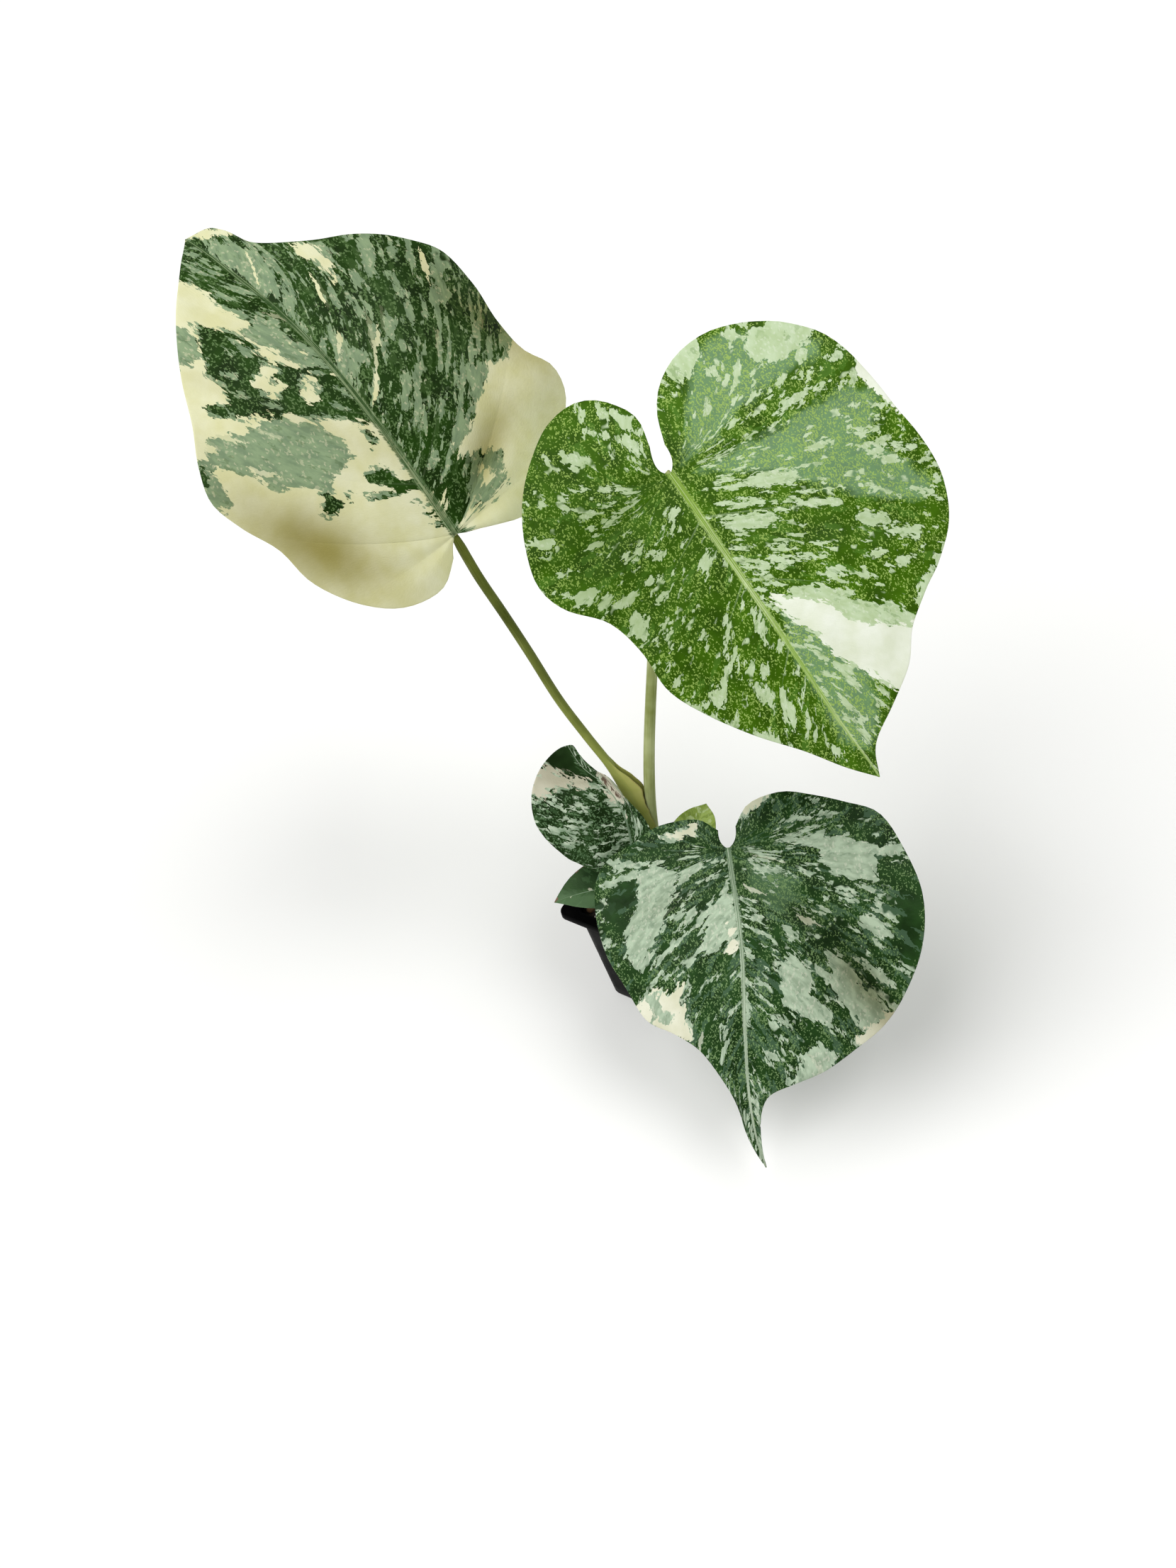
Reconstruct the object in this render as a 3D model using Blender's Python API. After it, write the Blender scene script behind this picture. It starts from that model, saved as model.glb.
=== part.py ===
import math

import bmesh
import bpy
import numpy as np

# All driving sizes are in millimetres and degrees; meshes are written in metres.
MM = 0.001

# Square nursery pot, standing on z = 0 with its base centred on the origin
POT_HEIGHT = 86.0
POT_TURN = -42.0
LIP_SIDE = 76.0
LIP_BAND = 5.0
LIP_RADIUS = 5.0
WALL_SIDE_TOP = 65.0
WALL_SIDE_BASE = 51.5
WALL_RADIUS_TOP = 9.0
WALL_RADIUS_BASE = 7.0
WALL_THICKNESS = 1.2
FLOOR_THICKNESS = 1.6
BASE_CHAMFER = 0.8
LIP_EASE = 0.5
MOUTH_EASE = 0.6
DRAIN_RADIUS = 3.0
DRAIN_OFFSET = 16.5
DRAIN_SIDES = 20
DRAIN_CUT_DEPTH = 10.0
CORNER_STEPS = 5
SIDE_STEPS = 5

# Potting mix: a plug that fills the pot, with a plain hole for the stem
FIT_GAP = 0.3
SOIL_TOP = 77.0
SOIL_CROWN = 2.2
SOIL_ROUGHNESS = 0.7
SOIL_SEED = 41
# shares of the way from the pot wall to the stem at which the soil surface has a ring of points
SOIL_RINGS = (0.18, 0.36, 0.54, 0.72, 0.88, 1.0)
STEM_HOLE_BOTTOM = 52.0
STEM_HOLE_EASE = 1.05

# Stem, an upright node-ringed stub
STEM_CENTRE = (5.5, 3.0)
STEM_STATIONS = [(52.4, 5.4), (66.0, 6.2), (74.0, 6.6), (78.5, 6.3), (81.0, 6.7), (84.5, 6.1),
                 (87.0, 6.5), (90.0, 6.3), (92.4, 5.9), (93.4, 5.2)]
STEM_SIDES = 20

# Leaf blades
BLADE_THICKNESS = 0.8
# the fold along the midrib is rounded over this distance
FOLD_ROUNDING = 4.0
# the lobes behind the petiole bend back by their angle over this distance
BACK_SPAN = 60.0
# the petiole's end lies this far under the keel, plus a share of its own radius, less the
# blade's own seating, which takes up what its slant to the petiole leaves open
ROOT_GAP = 0.5
ROOT_SINK = 0.55
BASAL_SHARE = 0.27
VEIN_POWER = 1.25
# share of the margin from the notch, angle at which that vein leaves the midrib
VEIN_ANGLES = [(0.0, 128.0), (0.27, 84.0), (0.6, 64.0), (1.0, 34.0)]
VEIN_PULL = 0.42

# Every blade: where the petiole meets it, the way its midrib sets off, how it hangs, and the
# outline of both halves as (along the midrib, away from the midrib) from the notch to the tip.
LEAVES = {
    "leaf_upper_left_blade": dict(
        at=(-51, 50, 311), heading=133, pitch=56, roll=-15, length=194, droop=50, droop_power=1.6,
        back=10, fold=(0.16, 0.10), cup=0.0012, sway=[(0, 0), (60, -3), (110, -4), (160, -1), (194, 0)],
        left=[(-8, 8), (-15, 20), (-14, 33), (-8, 46), (6, 59), (25, 68), (43, 70), (60, 77), (75, 80),
              (90, 74), (107, 63), (127, 52), (147, 38), (165, 23), (184, 8), (194, 0)],
        right=[(-4, -13), (-12, -27), (-15, -43), (-9, -59), (6, -75), (19, -87), (32, -89), (46, -82),
               (63, -81), (85, -84), (107, -82), (124, -69), (137, -51), (147, -35), (164, -19), (182, -15),
               (191, -11), (194, 0)],
        rows=30, columns=8, laterals=7, quilt=0.9, wave=2.2, wave_count=2.5, wave_turn=40.0, keel=1.5,
        seat=2.6),
    "leaf_upper_right_blade": dict(
        at=(50, 29, 329), heading=-60, pitch=-37, roll=12, length=171, droop=30, droop_power=1.8,
        back=12, fold=(0.12, -0.12), cup=0.0010, sway=[(0, 0), (50, -3), (90, -4), (130, -4), (171, 0)],
        left=[(-12, 6), (-25, 12), (-35, 21), (-42, 35), (-43, 52), (-37, 69), (-26, 84), (-9, 97),
              (13, 102), (37, 103), (62, 105), (80, 100), (94, 90), (104, 76), (110, 63), (119, 49),
              (133, 37), (145, 20), (156, 5), (171, 0)],
        right=[(-15, 0), (-30, 4), (-43, -1), (-53, -12), (-53, -28), (-45, -44), (-32, -59), (-15, -70),
               (4, -76), (19, -73), (37, -61), (56, -58), (77, -59), (98, -51), (118, -39), (138, -24),
               (156, -12), (171, 0)],
        rows=32, columns=8, laterals=7, quilt=0.9, wave=2.0, wave_count=2.0, wave_turn=200.0, keel=1.5,
        seat=0.0),
    "leaf_front_blade": dict(
        at=(42, -39, 148), heading=-100, pitch=-34, roll=0, length=170, droop=38, droop_power=2.0,
        back=14, fold=(0.08, -0.22), cup=0.0010,
        sway=[(0, 0), (50, 1), (90, -2), (125, -4), (150, -3), (170, 0)],
        left=[(-11, 5), (-21, 12), (-26, 29), (-23, 44), (-17, 62), (-10, 77), (9, 87), (33, 93), (57, 90),
              (80, 79), (95, 68), (107, 51), (116, 36), (122, 19), (128, 5), (141, 0), (156, -1), (170, 0)],
        right=[(-10, -4), (-17, -14), (-17, -36), (-10, -50), (-3, -64), (9, -72), (31, -73), (50, -69),
               (67, -61), (85, -52), (93, -38), (102, -26), (118, -16), (133, -10), (150, -7), (170, 0)],
        rows=32, columns=8, laterals=7, quilt=0.9, wave=1.8, wave_count=2.0, wave_turn=90.0, keel=1.4,
        seat=0.0),
    "leaf_folded_blade": dict(
        at=(-6, -9, 122), heading=120, pitch=55, roll=-45, length=72, droop=10, droop_power=1.5,
        back=0, fold=(0.8, 0.8), cup=0.003, sway=[(0, 0), (15, -7), (30, -10), (45, -8), (58, -2), (73, 0)],
        left=[(-3, 4), (-3, 10), (3, 15), (13, 19), (28, 25), (44, 28), (57, 25), (66, 18), (72, 9), (73, 0)],
        right=[(-6, -7), (-5, -14), (6, -21), (20, -21), (31, -17), (41, -14), (49, -13), (53, -9), (57, -5),
               (64, -3), (73, 0)],
        rows=18, columns=5, laterals=4, quilt=0.3, wave=0.8, wave_count=1.5, wave_turn=0.0, keel=0.8,
        seat=0.8),
    "leaf_small_left_blade": dict(
        at=(-17, -10, 105), heading=177, pitch=3, roll=-10, length=37, droop=25, droop_power=1.5,
        back=0, fold=(0.3, 0.3), cup=0.004, sway=[(0, 0), (37, 0)],
        left=[(-5, 4), (-6, 9), (2, 13), (14, 12), (24, 8), (32, 3), (37, 0)],
        right=[(-5, -4), (-6, -10), (2, -15), (13, -16), (24, -11), (32, -5), (37, 0)],
        rows=12, columns=4, laterals=3, quilt=0.2, wave=0.4, wave_count=1.5, wave_turn=0.0, keel=0.5,
        seat=0.0),
    "leaf_small_right_blade": dict(
        at=(25, -9, 121), heading=45, pitch=39, roll=10, length=26, droop=25, droop_power=1.5,
        back=0, fold=(0.5, 0.5), cup=0.004, sway=[(0, 0), (26, 0)],
        left=[(-4, 4), (-3, 9), (5, 12), (12, 11), (19, 7), (26, 0)],
        right=[(-4, -4), (-3, -9), (5, -13), (13, -12), (20, -8), (26, 0)],
        rows=10, columns=4, laterals=3, quilt=0.2, wave=0.3, wave_count=1.5, wave_turn=0.0, keel=0.5,
        seat=0.7),
}

# Petioles: path points from the stem to just under the blade, and radius at both ends.
# A petiole with a side (a heading in degrees) leaves the stem level on that side at that height.
PETIOLES = {
    "leaf_upper_right_petiole": dict(
        side=None,
        path=[(9.0, 4.0, 93.8), (8.9, 4.0, 112), (9.3, 4.6, 130), (10.8, 7.4, 146), (15.2, 12.2, 175),
              (25.9, 21.0, 227), (37.3, 26.5, 282), (46.0, 28.6, 316)],
        radii=(3.3, 2.1), blade="leaf_upper_right_blade"),
    "leaf_front_petiole": dict(
        side=(-49, 84),
        path=[(15, -8, 97), (22, -16, 117), (32, -28, 137)],
        radii=(2.4, 1.8), blade="leaf_front_blade"),
    "leaf_folded_petiole": dict(
        side=(229, 83),
        path=[(-2.6, -5.8, 95), (-4.6, -7.8, 109)],
        radii=(1.8, 1.4), blade="leaf_folded_blade"),
    "leaf_small_left_petiole": dict(
        side=(192, 81.5),
        path=[(-6.5, -2, 89), (-11, -6, 97)],
        radii=(1.4, 1.0), blade="leaf_small_left_blade"),
    "leaf_small_right_petiole": dict(
        side=(-4, 82.5),
        path=[(17, 0.6, 94), (22, -4.5, 109)],
        radii=(1.4, 1.0), blade="leaf_small_right_blade"),
}
PETIOLE_SIDES = 12
SIDE_STATIONS = 12
UPRIGHT_STATIONS = 20

# Upper left petiole with its winged sheath: the wings flank the neighbouring petiole
SHEATH_PETIOLE = dict(
    path=[(2.2, 3.2, 93.8), (2.2, 3.0, 108), (2.3, 3.4, 122), (1.8, 5.6, 136), (-0.6, 11.4, 152),
          (-5.4, 18.6, 168), (-13.3, 25, 186), (-23, 31, 211), (-32, 38.5, 241), (-39.2, 42.8, 265),
          (-46.2, 46, 288)],
    radii=(2.8, 2.2), blade="leaf_upper_left_blade")
SHEATH_WING_THICKNESS = 0.8
# height, wing reach beyond the petiole's middle, half the distance between the two wings
SHEATH_WINGS = [(93, 9.0, 4.4), (122, 9.6, 4.4), (150, 11.0, 3.6), (157, 11.0, 3.0), (164, 8.4, 2.4),
                (171, 5.6, 1.9), (179, 4.0, 1.6)]
# between these heights the winged section turns into a plain round one
SHEATH_FADE = (162.0, 180.0)
# up to this height the wings flank the neighbour, above it they end short of it
SHEATH_FLANK_TOP = 118.0
SHEATH_CLEARANCE = 0.6
# above this height the wings close in on the petiole's own width
SHEATH_NARROW_FROM = 126.0
# rings in the winged and in the round part of the petiole
SHEATH_STATIONS = (15, 13)
WING_POINTS = 5

MATERIALS = {
    "black_plastic": ((0.010, 0.009, 0.009), 0.45),
    "bark_mix": ((0.055, 0.032, 0.018), 0.95),
    "stem_green": ((0.17, 0.20, 0.06), 0.6),
    "petiole_olive": ((0.23, 0.27, 0.08), 0.5),
    "sheath_yellow_green": ((0.36, 0.37, 0.11), 0.5),
    "leaf_cream_green": ((0.42, 0.45, 0.24), 0.45),
    "leaf_bright_green": ((0.13, 0.26, 0.04), 0.4),
    "leaf_blue_green": ((0.09, 0.19, 0.09), 0.45),
}


def clear_scene():
    for old in list(bpy.data.objects):
        bpy.data.objects.remove(old, do_unlink=True)


def make_material(name):
    colour, roughness = MATERIALS[name]
    material = bpy.data.materials.new(name)
    material.use_nodes = True
    shader = material.node_tree.nodes["Principled BSDF"]
    shader.inputs["Base Color"].default_value = (*colour, 1.0)
    shader.inputs["Roughness"].default_value = roughness
    shader.inputs["Metallic"].default_value = 0.0
    return material


def add_object(name, points, faces, material_name, place=(0.0, 0.0, 0.0)):
    """A named solid whose origin is at its place; points are in the part's own frame."""
    mesh = bpy.data.meshes.new(name)
    own = (np.asarray(points, float) - np.asarray(place, float)) * MM
    mesh.from_pydata([tuple(p) for p in own], [], faces)
    build = bmesh.new()
    build.from_mesh(mesh)
    bmesh.ops.recalc_face_normals(build, faces=build.faces)
    build.to_mesh(mesh)
    build.free()
    mesh.shade_smooth()
    mesh.set_sharp_from_angle(angle=math.radians(40))
    mesh.materials.append(make_material(material_name))
    result = bpy.data.objects.new(name, mesh)
    result.location = [value * MM for value in place]
    bpy.context.scene.collection.objects.link(result)
    return result


def smooth_line(points, count, spread=None):
    """Even samples of a rounded line through the points (centripetal spline)."""
    points = np.asarray(points, float)
    ends = np.vstack([2 * points[0] - points[1], points, 2 * points[-1] - points[-2]])
    knots = np.concatenate([[0], np.cumsum(np.linalg.norm(np.diff(ends, axis=0), axis=1) ** 0.5)])
    dense = []
    for i in range(1, len(ends) - 2):
        t0, t1, t2, t3 = knots[i - 1:i + 3]
        p0, p1, p2, p3 = ends[i - 1:i + 3]
        t = np.linspace(t1, t2, 24, endpoint=False)[:, None]
        a1 = (t1 - t) / (t1 - t0) * p0 + (t - t0) / (t1 - t0) * p1
        a2 = (t2 - t) / (t2 - t1) * p1 + (t - t1) / (t2 - t1) * p2
        a3 = (t3 - t) / (t3 - t2) * p2 + (t - t2) / (t3 - t2) * p3
        b1 = (t2 - t) / (t2 - t0) * a1 + (t - t0) / (t2 - t0) * a2
        b2 = (t3 - t) / (t3 - t1) * a2 + (t - t1) / (t3 - t1) * a3
        dense.append((t2 - t) / (t2 - t1) * b1 + (t - t1) / (t2 - t1) * b2)
    dense = np.vstack(dense + [points[-1:]])
    run = np.concatenate([[0], np.cumsum(np.linalg.norm(np.diff(dense, axis=0), axis=1))])
    share = np.linspace(0, 1, count) if spread is None else np.asarray(spread)
    return np.stack([np.interp(share * run[-1], run, dense[:, k]) for k in range(dense.shape[1])], axis=1)


def loft_faces(ring_count, sides):
    faces = []
    for i in range(ring_count - 1):
        for k in range(sides):
            m = (k + 1) % sides
            faces.append((i * sides + k, i * sides + m, (i + 1) * sides + m, (i + 1) * sides + k))
    faces.append(tuple(range(sides)))
    faces.append(tuple((ring_count - 1) * sides + k for k in range(sides)))
    return faces


def rounded_square(side, radius, height):
    """A ring of a square with rounded corners, turned like the pot."""
    half = side / 2 - radius
    ring = []
    for corner in range(4):
        quarter = math.radians(90 * corner)
        centre_x = half * (1 if corner in (0, 3) else -1)
        centre_y = half * (1 if corner in (0, 1) else -1)
        for step in range(CORNER_STEPS + 1):
            angle = quarter + math.radians(90) * step / CORNER_STEPS
            ring.append((centre_x + radius * math.cos(angle), centre_y + radius * math.sin(angle), height))
        along = quarter + math.radians(180)
        for step in range(1, SIDE_STEPS):
            run = 2 * half * step / SIDE_STEPS
            last = ring[-step]
            ring.append((last[0] + run * math.cos(along), last[1] + run * math.sin(along), height))
    cos_turn = math.cos(math.radians(POT_TURN))
    sin_turn = math.sin(math.radians(POT_TURN))
    x, y, z = np.array(ring).T
    return np.stack([x * cos_turn - y * sin_turn, x * sin_turn + y * cos_turn, z], axis=1)


def wall_side(height):
    return WALL_SIDE_BASE + (WALL_SIDE_TOP - WALL_SIDE_BASE) * height / POT_HEIGHT


def wall_radius(height):
    return WALL_RADIUS_BASE + (WALL_RADIUS_TOP - WALL_RADIUS_BASE) * height / POT_HEIGHT


def inner_ring(height, gap=0.0):
    inset = WALL_THICKNESS + gap
    return rounded_square(wall_side(height) - 2 * inset, wall_radius(height) - inset, height)


def make_pot():
    under_lip = POT_HEIGHT - LIP_BAND
    rings = [
        rounded_square(WALL_SIDE_BASE - 2 * BASE_CHAMFER, WALL_RADIUS_BASE - BASE_CHAMFER, 0),
        rounded_square(WALL_SIDE_BASE, WALL_RADIUS_BASE, BASE_CHAMFER),
        rounded_square(wall_side(under_lip), wall_radius(under_lip), under_lip),
        rounded_square(LIP_SIDE - 2 * LIP_EASE, LIP_RADIUS - LIP_EASE, under_lip),
        rounded_square(LIP_SIDE, LIP_RADIUS, under_lip + LIP_EASE),
        rounded_square(LIP_SIDE, LIP_RADIUS, POT_HEIGHT - 2 * LIP_EASE),
        rounded_square(LIP_SIDE - 4 * LIP_EASE, LIP_RADIUS - 2 * LIP_EASE, POT_HEIGHT),
        inner_ring(POT_HEIGHT, -MOUTH_EASE),
        inner_ring(POT_HEIGHT - MOUTH_EASE),
        inner_ring(FLOOR_THICKNESS),
    ]
    pot = add_object("nursery_pot", np.vstack(rings), loft_faces(len(rings), len(rings[0])), "black_plastic")
    for corner in range(4):
        angle = math.radians(POT_TURN + 90 * corner)
        reach = DRAIN_OFFSET * MM
        bpy.ops.mesh.primitive_cylinder_add(
            vertices=DRAIN_SIDES, radius=DRAIN_RADIUS * MM, depth=DRAIN_CUT_DEPTH * MM,
            location=(reach * math.cos(angle), reach * math.sin(angle), FLOOR_THICKNESS / 2 * MM))
        cutter = bpy.context.object
        cutter.name = "drain_cutter_%d" % (corner + 1)
        cutter.hide_render = True
        cutter.display_type = "WIRE"
        cut = pot.modifiers.new("drain_%d" % (corner + 1), "BOOLEAN")
        cut.operation = "DIFFERENCE"
        cut.solver = "EXACT"
        cut.object = cutter
    return pot


def make_soil():
    bottom = FLOOR_THICKNESS + FIT_GAP
    outline = [inner_ring(h, FIT_GAP) for h in (bottom, bottom + 25, bottom + 50, SOIL_TOP)]
    sides = len(outline[0])
    edge = outline[-1]
    centre = np.array([*STEM_CENTRE, 0.0])
    hole_radius = max(r for z, r in STEM_STATIONS) + FIT_GAP
    spokes = edge - centre
    spokes[:, 2] = 0
    length = np.linalg.norm(spokes, axis=1)[:, None]
    hole = centre + spokes / length * hole_radius * STEM_HOLE_EASE
    rng = np.random.default_rng(SOIL_SEED)
    top = []
    for share in SOIL_RINGS:
        ring = edge * (1 - share) + hole * share
        bumps = rng.uniform(-1, 1, sides) * SOIL_ROUGHNESS * (1 if share < 1 else 0.3)
        ring[:, 2] = SOIL_TOP + SOIL_CROWN * math.sin(share * math.pi / 2) + bumps
        top.append(ring)
    wall = hole.copy()
    wall[:, 2] = STEM_HOLE_BOTTOM
    rings = outline + top + [wall]
    return add_object("potting_mix", np.vstack(rings), loft_faces(len(rings), sides), "bark_mix")


def make_stem():
    rings = []
    turn = np.linspace(0, 2 * np.pi, STEM_SIDES, endpoint=False)
    for z, radius in STEM_STATIONS:
        rings.append(np.stack([STEM_CENTRE[0] + radius * np.cos(turn), STEM_CENTRE[1] + radius * np.sin(turn),
                               np.full(STEM_SIDES, z)], axis=1))
    place = (*STEM_CENTRE, STEM_STATIONS[0][0])
    return add_object("stem", np.vstack(rings), loft_faces(len(rings), STEM_SIDES), "stem_green", place)


def leaf_axes(leaf):
    """Midrib direction, direction across the blade and blade normal, at the petiole."""
    heading, pitch, roll = np.radians([leaf["heading"], leaf["pitch"], leaf["roll"]])
    level_heading = np.array([math.cos(heading), math.sin(heading), 0.0])
    along = math.cos(pitch) * level_heading + math.sin(pitch) * np.array([0.0, 0.0, 1.0])
    level = np.array([-math.sin(heading), math.cos(heading), 0.0])
    upright = np.cross(along, level)
    across = math.cos(roll) * level + math.sin(roll) * upright
    normal = math.cos(roll) * upright - math.sin(roll) * level
    return along, across, normal


def midrib_sway(leaf, a):
    sway_a, sway_b = smooth_line(leaf["sway"], 80).T
    return np.interp(a, sway_a, sway_b)


def leaf_surface(leaf, a, b, lift):
    """Points of the blade surface: a along the midrib, b away from it, lift off the sheet."""
    along, across, normal = leaf_axes(leaf)
    s = np.linspace(-90, leaf["length"] * 1.1, 1600)
    bend = np.where(s > 0, math.radians(leaf["droop"]) * np.abs(s / leaf["length"]) ** leaf["droop_power"],
                    -math.radians(leaf["back"]) * np.abs(s / BACK_SPAN))
    step = s[1] - s[0]
    out = np.cumsum(np.cos(bend)) * step
    drop = -np.cumsum(np.sin(bend)) * step
    out -= np.interp(0, s, out)
    drop -= np.interp(0, s, drop)
    angle = np.interp(a, s, bend)
    beside = b - midrib_sway(leaf, a)
    fold = np.where(beside > 0, leaf["fold"][0], leaf["fold"][1])
    folded = fold * (np.sqrt(beside * beside + FOLD_ROUNDING ** 2) - FOLD_ROUNDING)
    rise = folded - leaf["cup"] * beside * beside + lift
    u = np.interp(a, s, out) + np.sin(angle) * rise
    w = np.interp(a, s, drop) + np.cos(angle) * rise
    start = np.array(leaf["at"], float)
    return start + u[:, None] * along + w[:, None] * normal + b[:, None] * across


def leaf_sheet(leaf):
    """Middle surface of a blade, laid out vein by vein from the notch to the tip."""
    rows, columns = leaf["rows"], leaf["columns"]
    share = np.linspace(0, 1, rows + 1)
    root = leaf["length"] * np.clip((share - BASAL_SHARE) / (1 - BASAL_SHARE), 0, 1) ** VEIN_POWER
    rib_b = midrib_sway(leaf, root)
    angles = np.radians(np.interp(share, *np.array(VEIN_ANGLES).T))
    points, vein, reach = [], [], []

    def put(a, b, t, v):
        points.append((a, b))
        vein.append(t)
        reach.append(v)
        return len(points) - 1

    rib = []
    for i in range(rows):
        if i and root[i] == 0:
            rib.append(rib[0])
        else:
            rib.append(put(root[i], rib_b[i], share[i], 0.0))
    tip = put(*leaf["left"][-1], 1.0, 0.0)
    grids = []
    for outline in (leaf["left"], leaf["right"]):
        margin = smooth_line(outline, rows + 1)
        grid = []
        for i in range(rows):
            start = np.array(points[rib[i]])
            chord = margin[i] - start
            outward = 1 if outline is leaf["left"] else -1
            set_off = np.array([math.cos(angles[i]), outward * math.sin(angles[i])])
            bow = start + VEIN_PULL * np.linalg.norm(chord) * set_off
            line = [rib[i]]
            for j in range(1, columns + 1):
                v = j / columns
                p = (1 - v) ** 2 * start + 2 * v * (1 - v) * bow + v * v * margin[i]
                line.append(put(p[0], p[1], share[i], v))
            grid.append(line)
        grids.append(grid)

    triangles = []
    for number, grid in enumerate(grids):
        for i in range(rows):
            for j in range(columns):
                corner = [grid[i][j], grid[i][j + 1]]
                corner += [grid[i + 1][j + 1], grid[i + 1][j]] if i + 1 < rows else [tip]
                corner = list(dict.fromkeys(corner))
                for k in range(1, len(corner) - 1):
                    three = (corner[0], corner[k], corner[k + 1])
                    triangles.append(three if number else three[::-1])
    border = [line[-1] for line in reversed(grids[0])] + list(reversed(grids[0][0][:-1]))
    border += grids[1][0][1:] + [line[-1] for line in grids[1][1:]] + [tip]
    a, b = np.array(points).T
    vein, reach = np.array(vein), np.array(reach)
    lift = leaf["quilt"] * np.sin(np.pi * reach) * (0.5 - 0.5 * np.cos(2 * np.pi * leaf["laterals"] * vein))
    turn = 2 * np.pi * leaf["wave_count"] * vein + math.radians(leaf["wave_turn"])
    lift += leaf["wave"] * reach ** 3 * np.sin(turn + np.where(b > 0, 0.0, 1.3)) * np.sin(np.pi * vein)
    return leaf_surface(leaf, a, b, lift), triangles, border, a, reach


def make_blade(name):
    leaf = LEAVES[name]
    middle, triangles, border, a, reach = leaf_sheet(leaf)
    normals = np.zeros_like(middle)
    for p, q, r in triangles:
        face = np.cross(middle[q] - middle[p], middle[r] - middle[p])
        for k in (p, q, r):
            normals[k] += face
    normals /= np.linalg.norm(normals, axis=1)[:, None]
    if normals[0] @ leaf_axes(leaf)[2] < 0:
        normals = -normals
    half = BLADE_THICKNESS / 2
    keel = np.where(reach == 0, leaf["keel"] * np.clip(1 - a / leaf["length"], 0, 1) ** 0.7, 0.0)
    top = middle + normals * half
    bottom = middle - normals * (half + keel)[:, None]
    count = len(middle)
    faces = list(triangles) + [(r + count, q + count, p + count) for p, q, r in triangles]
    for k, first in enumerate(border):
        second = border[(k + 1) % len(border)]
        faces.append((first, second, second + count))
        faces.append((first, second + count, first + count))
    return add_object(name, np.vstack([top, bottom]), faces, blade_material(name), leaf["at"])


def blade_material(name):
    own = {"leaf_upper_left_blade": "leaf_cream_green", "leaf_upper_right_blade": "leaf_bright_green"}
    return own.get(name, "leaf_blue_green")


def petiole_end(leaf, radius):
    """Middle of the petiole's last ring, just clear of the blade's underside at the notch."""
    along, across, normal = leaf_axes(leaf)
    below = BLADE_THICKNESS / 2 + leaf["keel"] + ROOT_GAP + ROOT_SINK * radius - leaf["seat"]
    return np.array(leaf["at"], float) - normal * below - along * 0.8 * radius


def path_frames(path):
    """Tangent and two steady cross directions at every point of a path."""
    tangent = np.gradient(path, axis=0)
    tangent /= np.linalg.norm(tangent, axis=1)[:, None]
    side = np.cross(tangent[0], (0.0, 1.0, 0.0))
    sides = []
    for t in tangent:
        side = side - t * (side @ t)
        side /= np.linalg.norm(side)
        sides.append(side)
    sides = np.array(sides)
    return tangent, sides, np.cross(tangent, sides)


def make_petiole(name):
    spec = PETIOLES[name]
    leaf = LEAVES[spec["blade"]]
    start, end = spec["radii"]
    line = list(spec["path"])
    if spec["side"]:
        heading, height = spec["side"]
        outward = np.array([math.cos(math.radians(heading)), math.sin(math.radians(heading))])
        widest = max(r for z, r in STEM_STATIONS)
        first = np.array(STEM_CENTRE) + outward * (widest + FIT_GAP + 0.45 * start)
        second = first + outward * 1.3 * start
        line = [(*first, height), (*second, height + 0.3 * start)] + line
    stations = SIDE_STATIONS if spec["side"] else UPRIGHT_STATIONS
    path = smooth_line(line + [tuple(petiole_end(leaf, end))], stations)
    tangent, side, other = path_frames(path)
    turn = np.linspace(0, 2 * np.pi, PETIOLE_SIDES, endpoint=False)
    radius = np.linspace(start, end, stations)
    rings = [path[i] + radius[i] * (np.cos(turn)[:, None] * side[i] + np.sin(turn)[:, None] * other[i])
             for i in range(stations)]
    return add_object(name, np.vstack(rings), loft_faces(stations, PETIOLE_SIDES), "petiole_olive", path[0])


def sheath_section(radius, reach, spread, roundness):
    """Closed ring of a round petiole with a thin wing on each side of its front."""
    half = SHEATH_WING_THICKNESS / 2
    back = np.linspace(70, 290, 11)
    wing = np.linspace(296, 336, 2 * WING_POINTS)
    bearing = np.radians(np.concatenate([back, wing, (-18, 0, 18), 360 - wing[::-1]]))
    plain = radius * np.stack([np.cos(bearing), np.sin(bearing)], axis=1)
    ring = []
    for angle in np.radians(back):
        ring.append((radius * math.cos(angle), radius * math.sin(angle)))
    root = np.array([radius * math.cos(math.radians(50)), -radius * math.sin(math.radians(50))])
    far = np.array([reach, -spread])
    share = np.linspace(0.12, 1, WING_POINTS)
    flank = np.stack([root[0] + (far[0] - root[0]) * share,
                      root[1] + (far[1] - root[1]) * np.sin(share * np.pi / 2) ** 0.8], axis=1)
    lean = np.gradient(flank, axis=0)
    lean /= np.linalg.norm(lean, axis=1)[:, None]
    off = np.stack([lean[:, 1], -lean[:, 0]], axis=1) * half
    lower = np.vstack([flank + off, (flank - off)[::-1]])
    ring += [tuple(p) for p in lower]
    for angle in np.radians((-18, 0, 18)):
        ring.append((radius * math.cos(angle), radius * math.sin(angle)))
    ring += [(p[0], -p[1]) for p in lower[::-1]]
    return (1 - roundness) * np.array(ring) + roundness * plain


def neighbour_direction(point, tangent, neighbour):
    """Direction and distance from the petiole to its neighbour, across the petiole."""
    along = (neighbour - point) @ tangent
    near = neighbour[np.argmin(np.abs(along))] - point
    near = near - tangent * (near @ tangent)
    distance = np.linalg.norm(near)
    return near / distance, distance


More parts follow.
